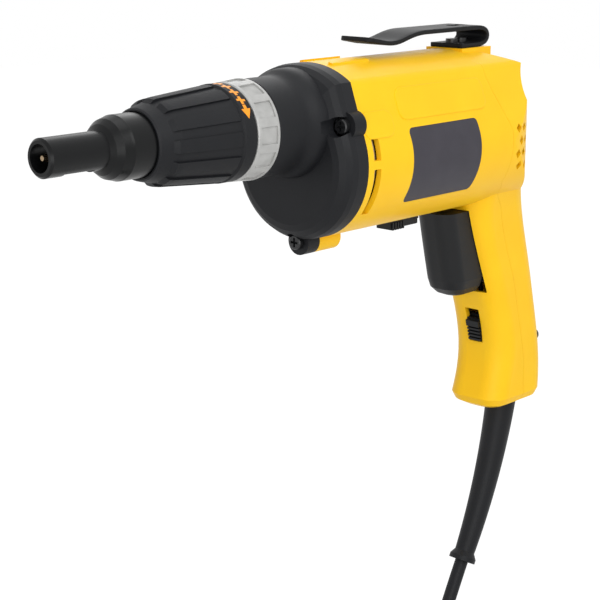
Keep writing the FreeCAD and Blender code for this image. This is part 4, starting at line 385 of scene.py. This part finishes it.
@dataclass
class MainsCord:
    """The mains lead: down from its relief to the floor, then wound in a tied coil.

    Sizes in millimetres, apart from the declared length in metres and the end's step in radians.
    """

    diameter: float = 7.5
    floor: float = -232.0
    tie: float = 1.3
    tie_gap: float = 0.4
    centre: tuple[float, float] = (105.0, 55.0)
    radius: float = 58.0
    pitch: float = 8.3
    turns_in: float = 4.0
    turns_out: float = 3.75
    tail_share: float = 0.3
    tail_out: float = 18.0
    tail_drop: float = 5.8
    drop_share: float = 0.6
    end_step: float = 0.01
    plug_reach: float = 0.2
    steps: int = 24
    rim_steps: int = 6
    curve_steps: int = 4
    curve_order: int = 3
    length: float = 2.24

    def route(self) -> list[Vector]:
        """The listed points from the relief's end to the coil's start.

        Returns:
            The points in metres.
        """
        points = [(12.0, 0.0, -163.9), (22.2, 0.0, -182.3), (36.5, 2.0, -204.0), (52.5, 3.5, -217.5),
                  (70.0, 0.0, -224.5), (84.5, -3.0, -226.55), (97.5, -3.0, -226.55)]
        return [Vector(point) * MM for point in points]

    def eased(self, share: float) -> float:
        """A share from 0 to 1 that starts and ends level."""
        share = min(max(share, 0.0), 1.0)
        return share * share * (3 - 2 * share)

    def coil_angles(self) -> tuple[float, float, float]:
        """How far round the coil its line starts to reverse, has reversed and ends.

        Returns:
            The three angles in radians.
        """
        inward = TURN * self.turns_in
        back = inward + TURN / 2
        return inward, back, back + TURN * self.turns_out

    def coil_point(self, angle: float) -> Vector:
        """One point of the coil's line: in below, up in the half turn where it reverses, out above.

        Args:
            angle: How far round the coil, in radians from its start.

        Returns:
            The point in metres, a little outside the line so that the smooth curve falls on it.
        """
        inward, back, last = self.coil_angles()
        least = self.radius - self.pitch * self.turns_in
        z = self.floor + self.tie + self.tie_gap + self.diameter / 2
        if angle < inward:
            radius = self.radius - self.pitch * angle / TURN
        elif angle < back:
            part = angle - inward
            radius = least - self.pitch / TURN * part * (1 - part / math.pi)
            z += self.pitch * (1 - math.cos(part)) / 2
        else:
            tail = TURN * self.tail_share
            drop = tail * self.drop_share
            radius = least + self.pitch * (angle - back) / TURN
            radius += self.tail_out * self.eased((angle - last + tail) / tail)
            z += self.pitch - self.tail_drop * self.eased((angle - last + drop) / drop)
        reach = radius / math.cos(math.pi / self.steps)
        bearing = angle - TURN / 4
        x = self.centre[0] + reach * math.cos(bearing)
        y = self.centre[1] + reach * math.sin(bearing)
        return Vector((x, y, z)) * MM

    def line(self) -> list[Vector]:
        """The cord's whole line, from the relief's end to just inside the plug.

        Returns:
            The points in metres.
        """
        last = self.coil_angles()[-1]
        count = round(last / TURN * self.steps)
        points = self.route()
        points += [self.coil_point(last * (index + 0.5) / count) for index in range(count)]
        end_way = (self.coil_point(last) - self.coil_point(last - self.end_step)).normalized()
        low, high = (Vector(corner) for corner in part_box("plug_body"))
        plug_start = Vector(((low.x + high.x) / 2, low.y + self.plug_reach * MM, (low.z + high.z) / 2))
        return points + [plug_start - end_way * self.diameter * MM, plug_start]

    def build(self) -> bpy.types.Object:
        """Returns:
            The cord's curve object.
        """
        points = self.line()
        data = bpy.data.curves.new("mains_cord", "CURVE")
        data.dimensions = "3D"
        data.bevel_depth = self.diameter / 2 * MM
        data.bevel_resolution = self.rim_steps
        data.resolution_u = self.curve_steps
        data.use_fill_caps = True
        spline = data.splines.new("NURBS")
        spline.points.add(len(points) - 1)
        for spot, point in zip(spline.points, points):
            spot.co = (*point, 1.0)
        spline.order_u = self.curve_order
        spline.use_endpoint_u = True
        cord = bpy.data.objects.new("mains_cord", data)
        bpy.context.collection.objects.link(cord)
        data.materials.append(CORD_RUBBER.material())
        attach(cord, "housing")
        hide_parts("cord_lead", "cord_coil")
        LOG.info("made mains_cord")
        return cord


@dataclass
class DepthPrint:
    """The orange arrow and dashes printed round the collar's plain rear band.

    Sizes in millimetres and angles in degrees.
    """

    axis_z: float = 98.0
    radius: float = 22.0
    proud: float = 0.06
    middle_x: float = 201.3
    first_angle: float = 33.0
    dash_step: float = 13.5
    dashes: int = 5
    arrow_tip: float = 4.2
    arrow_half: float = 2.7
    arrow_back: float = 0.6
    shaft_half: float = 0.9
    shaft_end: float = 2.6
    dash_half: float = 0.75
    dash_end: float = 2.2
    tick_end: float = 2.4
    tick_inner: float = 0.3
    tick_outer: float = 0.9
    cuts: int = 2

    def arrow(self) -> Outline:
        """The arrow's outline, the same on both sides of its middle.

        Returns:
            Points along the tool and round the collar.
        """
        side = [(self.arrow_half, self.arrow_back), (self.shaft_half, self.arrow_back),
                (self.shaft_half, self.shaft_end)]
        return [(0.0, -self.arrow_tip), *side, *[(-x, y) for x, y in reversed(side)]]

    def dash(self) -> Outline:
        """A dash's outline, with a tick on each side and the same when turned half round.

        Returns:
            Points along the tool and round the collar.
        """
        side = [(self.dash_half, -self.dash_end), (self.dash_half, -self.tick_inner),
                (self.tick_end, -self.tick_inner), (self.tick_end, self.tick_outer),
                (self.dash_half, self.tick_outer), (self.dash_half, self.dash_end)]
        return side + [(-x, -y) for x, y in side]

    def wrap(self, piece: bpy.types.Object, middle: float) -> None:
        """Bend a flat mark, drawn along X and Y, round the collar.

        Args:
            piece: The flat mark, whose X is along the tool and whose Y is round it.
            middle: Where the mark's middle lies, in degrees up from the left side.
        """
        for vertex in piece.data.vertices:
            along, round_by, up = vertex.co
            angle = math.radians(middle) + round_by / (self.radius * MM)
            reach = (self.radius + self.proud) * MM + up
            vertex.co = (along, reach * math.cos(angle), self.axis_z * MM + reach * math.sin(angle))

    def mark(self, name: str, corners: Outline, middle: float) -> bpy.types.Object:
        """One printed mark from its outline.

        Args:
            name: The piece's name.
            corners: The outline as (along the tool, round the collar) in millimetres.
            middle: Where it lies, in degrees up from the left side.

        Returns:
            The finished mark.
        """
        clear_selection()
        bpy.ops.mesh.primitive_plane_add(size=MM)
        piece = bpy.context.object
        flat = [((self.middle_x + x) * MM, y * MM, 0.0) for x, y in corners]
        piece.data.clear_geometry()
        piece.data.from_pydata(flat, [], [tuple(range(len(flat)))])
        only(piece)
        bpy.ops.object.mode_set(mode="EDIT")
        bpy.ops.mesh.select_all(action="SELECT")
        bpy.ops.mesh.quads_convert_to_tris()
        bpy.ops.mesh.subdivide(number_cuts=self.cuts)
        bpy.ops.mesh.normals_make_consistent(inside=False)
        bpy.ops.object.mode_set(mode="OBJECT")
        self.wrap(piece, middle)
        return settle(piece, name, ORANGE_PRINT, "collar")

    def build(self) -> None:
        """Make the arrow and the dashes behind it."""
        self.mark("depth_arrow", self.arrow(), self.first_angle)
        for index in range(self.dashes):
            self.mark("depth_dash_%d" % index, self.dash(), self.first_angle + self.dash_step * (index + 1))


@dataclass
class BeltHook:
    """The sheet-steel belt hook with the soft bends of pressed sheet.

    Sizes in millimetres and angles in degrees.
    """

    thick: float = 2.2
    bend: float = 7.0
    bend_steps: int = 8
    corner: float = 4.0
    edge: float = 0.35
    edge_steps: int = 2
    foot_front_x: float = 37.0
    slope_x: float = 72.0
    dip_x: float = 90.0
    dip_z: float = 130.5
    tip_z: float = 134.0
    rear_lean: float = 4.0
    hole_x: tuple[float, ...] = (24.5, 32.0)
    driver_hole: float = 3.4
    screw_hole: float = 2.1
    hole_sides: int = 40
    steps_along: int = 120
    steps_across: int = 6
    smooth_below: float = 35.0

    def corners(self, low: Vector, high: Vector) -> list[Vector]:
        """The hook's side line before its bends are rounded.

        Args:
            low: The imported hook's lowest corner, in metres.
            high: Its highest corner.

        Returns:
            Points along the tool and up, from the foot's front round the back to the tip.
        """
        half = self.thick / 2
        foot_z = low.z / MM + half
        top_z = high.z / MM - half
        rear = low.x / MM + half
        return [Vector(point) for point in (
            (self.foot_front_x, foot_z), (rear + self.rear_lean, foot_z), (rear, (foot_z + top_z) / 2),
            (rear + self.rear_lean, top_z), (self.slope_x, top_z), (self.dip_x, self.dip_z),
            (high.x / MM, self.tip_z))]

    def soft_line(self, corners: list[Vector]) -> list[Vector]:
        """Round each inner corner of a line with a short parabola.

        Args:
            corners: The line's corners.

        Returns:
            The line with soft bends.
        """
        line = [corners[0]]
        for before, corner, after in zip(corners, corners[1:], corners[2:]):
            arriving = before - corner
            leaving = after - corner
            start = corner + arriving.normalized() * min(self.bend, arriving.length / 2)
            end = corner + leaving.normalized() * min(self.bend, leaving.length / 2)
            for step in range(self.bend_steps + 1):
                share = step / self.bend_steps
                line.append(start.lerp(corner, share).lerp(corner.lerp(end, share), share))
        return line + [corners[-1]]

    def along(self, line: list[Vector], share: float) -> tuple[Vector, float]:
        """A point at a share of the line's length.

        Args:
            line: The soft line.
            share: From 0 at the foot to 1 at the tip.

        Returns:
            The point, and how far it is from the tip.
        """
        lengths = [(b - a).length for a, b in zip(line, line[1:])]
        left = share * sum(lengths)
        to_tip = sum(lengths) - left
        for a, b, length in zip(line, line[1:], lengths):
            if left <= length and length > 0:
                return a.lerp(b, left / length), to_tip
            left -= length
        return line[-1], 0.0

    def half_width(self, half: float, to_tip: float) -> float:
        """Half the sheet's width, drawn in by the tip's round corners.

        Args:
            half: Half the width away from the tip.
            to_tip: How far the place is from the tip.

        Returns:
            Half the width at that place.
        """
        if to_tip >= self.corner:
            return half
        return half - self.corner + math.sqrt(self.corner ** 2 - (self.corner - to_tip) ** 2)

    def cut_hole(self, piece: bpy.types.Object, place: Vector, radius: float) -> None:
        """Cut one upright round hole through the sheet.

        Args:
            piece: The hook.
            place: The hole's middle, in metres.
            radius: The hole's radius, in millimetres.
        """
        clear_selection()
        bpy.ops.mesh.primitive_cylinder_add(vertices=self.hole_sides, radius=radius * MM,
                                            depth=2 * self.thick * MM, location=place)
        drill = bpy.context.object
        only(piece)
        hole = piece.modifiers.new("hole", "BOOLEAN")
        hole.object = drill
        hole.operation = "DIFFERENCE"
        bpy.ops.object.modifier_apply(modifier="hole")
        bpy.data.objects.remove(drill)

    def build(self, frame: dict) -> bpy.types.Object:
        """Lay a grid along the soft line, thicken it, soften its edges and cut its holes.

        Args:
            frame: Not used.

        Returns:
            The finished hook.
        """
        low, high = (Vector(corner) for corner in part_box("belt_hook"))
        line = self.soft_line(self.corners(low, high))
        half = (high.y - low.y) / 2 / MM
        piece = flat_grid(self.steps_along, self.steps_across)
        for vertex in piece.data.vertices:
            spot, to_tip = self.along(line, (vertex.co.x + 1) / 2)
            across = vertex.co.y * self.half_width(half, to_tip)
            vertex.co = Vector((spot.x, across, spot.y)) * MM
        thicken(piece, self.thick, 0)
        soften(piece, self.edge, self.edge_steps)
        middle = self.thick / 2 * MM
        for x in self.hole_x:
            self.cut_hole(piece, Vector((x * MM, 0.0, high.z - middle)), self.driver_hole)
            self.cut_hole(piece, Vector((x * MM, 0.0, low.z + middle)), self.screw_hole)
        shade(piece, self.smooth_below)
        settle(piece, "belt_hook_sheet", HOOK_BLACK, "housing")
        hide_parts("belt_hook")
        return piece


class HeldEnd(Enum):
    """The end of a spring that stays on the body the spring rides with."""

    FRONT = "front"
    REAR = "rear"


@dataclass(frozen=True)
class PressedSpring:
    """A coil spring along the tool and the joint that presses it.

    The gap that is merged is in millimetres and the angle in degrees.
    """

    node: str
    joint: str
    body: str
    held: HeldEnd
    merge_gap: float = 0.002
    smooth_below: float = 40.0

    def build(self, frame: dict) -> bpy.types.Object:
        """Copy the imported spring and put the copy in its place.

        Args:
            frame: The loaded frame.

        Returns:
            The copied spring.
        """
        piece = bpy.data.objects.new(self.node, frame["nodes"][self.node].data.copy())
        bpy.context.collection.objects.link(piece)
        only(piece)
        bpy.ops.object.mode_set(mode="EDIT")
        bpy.ops.mesh.select_all(action="SELECT")
        bpy.ops.mesh.remove_doubles(threshold=self.merge_gap * MM)
        bpy.ops.object.mode_set(mode="OBJECT")
        shade(piece, self.smooth_below)
        settle(piece, self.node + "_wire", SPRING_STEEL, self.body)
        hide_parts(self.node)
        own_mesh(piece)
        return piece


SPRINGS = (
    PressedSpring("clutch_spring", "spindle_push", "spindle_carriage", HeldEnd.FRONT),
    PressedSpring("trigger_spring", "trigger_press", "housing", HeldEnd.REAR),
)


@dataclass(frozen=True)
class Panel:
    """One raised panel on the barrel's side: its ends along the tool and its heights. In millimetres."""

    name: str
    rear_x: float
    front_x: float
    low: float
    high: float
    corner: float
    proud: float


@dataclass
class BarrelRelief:
    """The faint raised panels moulded on both sides of the barrel.

    Sizes in millimetres and angles in degrees.
    """

    radius: float = 36.5
    axis_z: float = 78.8
    roof_half: float = 25.0
    roof_edge_z: float = 117.5
    sunk: float = 0.6
    edge: float = 0.45
    edge_steps: int = 3
    steps_along: int = 40
    steps_across: int = 20
    smooth_below: float = 40.0
    panels: tuple[Panel, ...] = (
        Panel("side_panel", rear_x=44.0, front_x=112.0, low=19.5, high=35.5, corner=5.0, proud=0.5),
        Panel("screw_pad", rear_x=118.0, front_x=139.4, low=13.0, high=26.0, corner=5.0, proud=0.6),
    )

    def on_side(self, rise: float, out: float) -> tuple[float, float]:
        """A point of the barrel's outline.

        Args:
            rise: How far along the outline above the motor's axis.
            out: How far off the surface.

        Returns:
            The point's Y and Z, on the left side.
        """
        reach = math.hypot(self.roof_half, self.roof_edge_z - self.axis_z)
        lean = math.atan2(self.roof_edge_z - self.axis_z, self.roof_half)
        touch = lean - math.acos(self.radius / reach)
        angle = min(rise / self.radius, touch)
        past = max(rise - self.radius * touch, 0.0)
        y = (self.radius + out) * math.cos(angle) - past * math.sin(angle)
        z = self.axis_z + (self.radius + out) * math.sin(angle) + past * math.cos(angle)
        return y, z

    def rounded(self, x: float, y: float, half: Vector, corner: float) -> tuple[float, float]:
        """Draw a point of a rectangle in so that the rectangle's corners become round.

        Args:
            x: Along the rectangle from its middle.
            y: Across it from its middle.
            half: Half its length and width.
            corner: The corners' radius.

        Returns:
            The point's new place.
        """
        past = Vector((abs(x) - half.x + corner, abs(y) - half.y + corner))
        if min(past) <= 0:
            return x, y
        scale = max(past) / past.length
        return (math.copysign(half.x - corner + past.x * scale, x),
                math.copysign(half.y - corner + past.y * scale, y))

    def plate(self, panel: Panel, side: int, name: str) -> bpy.types.Object:
        """One panel, drawn flat, rounded at its corners, laid on the barrel and thickened inwards.

        Args:
            panel: Its place and size.
            side: 1 for the left side, -1 for the right.
            name: The piece's name.

        Returns:
            The finished panel.
        """
        half = Vector(((panel.front_x - panel.rear_x) / 2, (panel.high - panel.low) / 2))
        middle = Vector(((panel.front_x + panel.rear_x) / 2, (panel.high + panel.low) / 2))
        piece = flat_grid(self.steps_along, self.steps_across)
        for vertex in piece.data.vertices:
            x, rise = self.rounded(vertex.co.x * half.x, vertex.co.y * half.y, half, panel.corner)
            y, z = self.on_side(middle.y + rise, panel.proud)
            vertex.co = Vector((middle.x + x, side * y, z)) * MM
        if side > 0:
            only(piece)
            bpy.ops.object.mode_set(mode="EDIT")
            bpy.ops.mesh.select_all(action="SELECT")
            bpy.ops.mesh.flip_normals()
            bpy.ops.object.mode_set(mode="OBJECT")
        thicken(piece, panel.proud + self.sunk, -1)
        soften(piece, self.edge, self.edge_steps)
        shade(piece, self.smooth_below)
        return settle(piece, name, YELLOW, "housing")

    def build(self) -> None:
        """Make each panel on the left side and again on the right."""
        for panel in self.panels:
            for side, word in ((1, "left"), (-1, "right")):
                self.plate(panel, side, "%s_%s" % (panel.name, word))


@dataclass(frozen=True)
class Lamp:
    """A square soft lamp: its place and size in metres, and its power in watts."""

    name: str
    place: Place
    size: float
    power: float


@dataclass
class Studio:
    """The floor, lights and camera. Lengths in metres, apart from the lens and sensor in millimetres."""

    camera_place: Place = (0.6937, 0.5040, 0.1965)
    camera_aim: Place = (0.1469, 0.0, 0.0123)
    lens: float = 96.0
    sensor: float = 36.0
    floor_z: float = -0.2325
    floor_size: float = 6.0
    floor_tone: float = 0.85
    floor_glow: float = 1.12
    floor_glow_share: float = 0.88
    world_light: float = 0.5
    world_white: float = 1.0
    lamp_aim: Place = (0.13, 0.0, 0.04)
    lamps: tuple[Lamp, ...] = (
        Lamp("key", place=(0.45, 1.1, 0.9), size=0.9, power=9.0),
        Lamp("front", place=(1.1, 0.8, 0.0), size=0.8, power=4.8),
        Lamp("top", place=(0.05, 0.0, 1.3), size=0.9, power=3.0),
        Lamp("back", place=(-0.9, -0.7, 0.7), size=0.8, power=3.0),
    )

    def aim(self, item: bpy.types.Object, target: Place) -> None:
        """Turn a lamp or camera towards a point."""
        way = Vector(target) - item.location
        item.rotation_euler = way.to_track_quat("-Z", "Y").to_euler()

    def build(self) -> None:
        """Make the floor, the world, the lamps and the camera."""
        self.floor()
        self.world()
        for lamp in self.lamps:
            self.light(lamp)
        self.camera()
        bpy.context.scene.view_settings.view_transform = "Standard"

    def camera(self) -> None:
        """Set up the camera at the photograph's point of view."""
        data = bpy.data.cameras.new("camera")
        data.lens = self.lens
        data.sensor_width = self.sensor
        camera = bpy.data.objects.new("camera", data)
        bpy.context.collection.objects.link(camera)
        camera.location = self.camera_place
        self.aim(camera, self.camera_aim)
        bpy.context.scene.camera = camera

    def light(self, lamp: Lamp) -> None:
        """Hang one lamp and aim it at the middle of the tool.

        Args:
            lamp: Its place, size and power.
        """
        data = bpy.data.lights.new(lamp.name, "AREA")
        data.size = lamp.size
        data.energy = lamp.power
        item = bpy.data.objects.new(lamp.name, data)
        bpy.context.collection.objects.link(item)
        item.location = lamp.place
        self.aim(item, self.lamp_aim)

    def white_rays(self, tree: bpy.types.NodeTree) -> bpy.types.NodeSocket:
        """Whether a ray belongs to what the camera sees, directly or in gloss and glass.

        Args:
            tree: The nodes of the world or the floor.

        Returns:
            A socket that gives 1 for such a ray and 0 for any other.
        """
        path = tree.nodes.new("ShaderNodeLightPath")
        seen = path.outputs["Is Camera Ray"]
        for kind in ("Is Glossy Ray", "Is Transmission Ray"):
            either = tree.nodes.new("ShaderNodeMath")
            either.operation = "MAXIMUM"
            tree.links.new(seen, either.inputs[0])
            tree.links.new(path.outputs[kind], either.inputs[1])
            seen = either.outputs[0]
        return seen

    def world(self) -> None:
        """A white background that lights the object only softly."""
        world = bpy.data.worlds.new("studio")
        bpy.context.scene.world = world
        world.use_nodes = True
        tree = world.node_tree
        tree.nodes.clear()
        out = tree.nodes.new("ShaderNodeOutputWorld")
        mix = tree.nodes.new("ShaderNodeMixShader")
        soft = tree.nodes.new("ShaderNodeBackground")
        soft.inputs["Color"].default_value = WHITE
        soft.inputs["Strength"].default_value = self.world_light
        white = tree.nodes.new("ShaderNodeBackground")
        white.inputs["Color"].default_value = WHITE
        white.inputs["Strength"].default_value = self.world_white
        tree.links.new(self.white_rays(tree), mix.inputs[0])
        tree.links.new(soft.outputs[0], mix.inputs[1])
        tree.links.new(white.outputs[0], mix.inputs[2])
        tree.links.new(mix.outputs[0], out.inputs["Surface"])

    def floor(self) -> None:
        """A pale floor under the cord, white to the camera apart from a faint shadow."""
        clear_selection()
        bpy.ops.mesh.primitive_plane_add(size=self.floor_size, location=(0, 0, self.floor_z))
        floor = bpy.context.object
        floor.name = "floor"
        made = bpy.data.materials.new("pale_floor")
        made.use_nodes = True
        tree = made.node_tree
        tree.nodes.clear()
        out = tree.nodes.new("ShaderNodeOutputMaterial")
        mix = tree.nodes.new("ShaderNodeMixShader")
        share = tree.nodes.new("ShaderNodeMath")
        share.operation = "MULTIPLY"
        share.inputs[1].default_value = self.floor_glow_share
        matte = tree.nodes.new("ShaderNodeBsdfDiffuse")
        matte.inputs["Color"].default_value = (self.floor_tone, self.floor_tone, self.floor_tone, 1)
        glow = tree.nodes.new("ShaderNodeEmission")
        glow.inputs["Color"].default_value = WHITE
        glow.inputs["Strength"].default_value = self.floor_glow
        tree.links.new(self.white_rays(tree), share.inputs[0])
        tree.links.new(share.outputs[0], mix.inputs[0])
        tree.links.new(matte.outputs[0], mix.inputs[1])
        tree.links.new(glow.outputs[0], mix.inputs[2])
        tree.links.new(mix.outputs[0], out.inputs["Surface"])
        floor.data.materials.append(made)


def main() -> None:
    """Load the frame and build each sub-assembly."""
    logging.basicConfig(level=logging.INFO)
    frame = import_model()
    Studio().build()
    MainsCord().build()
    FrameDress(frame).dress()
    DepthPrint().build()
    BarrelRelief().build()
    BeltHook().build(frame)
    for spring in SPRINGS:
        spring.build(frame)


if __name__ == "__main__":
    main()
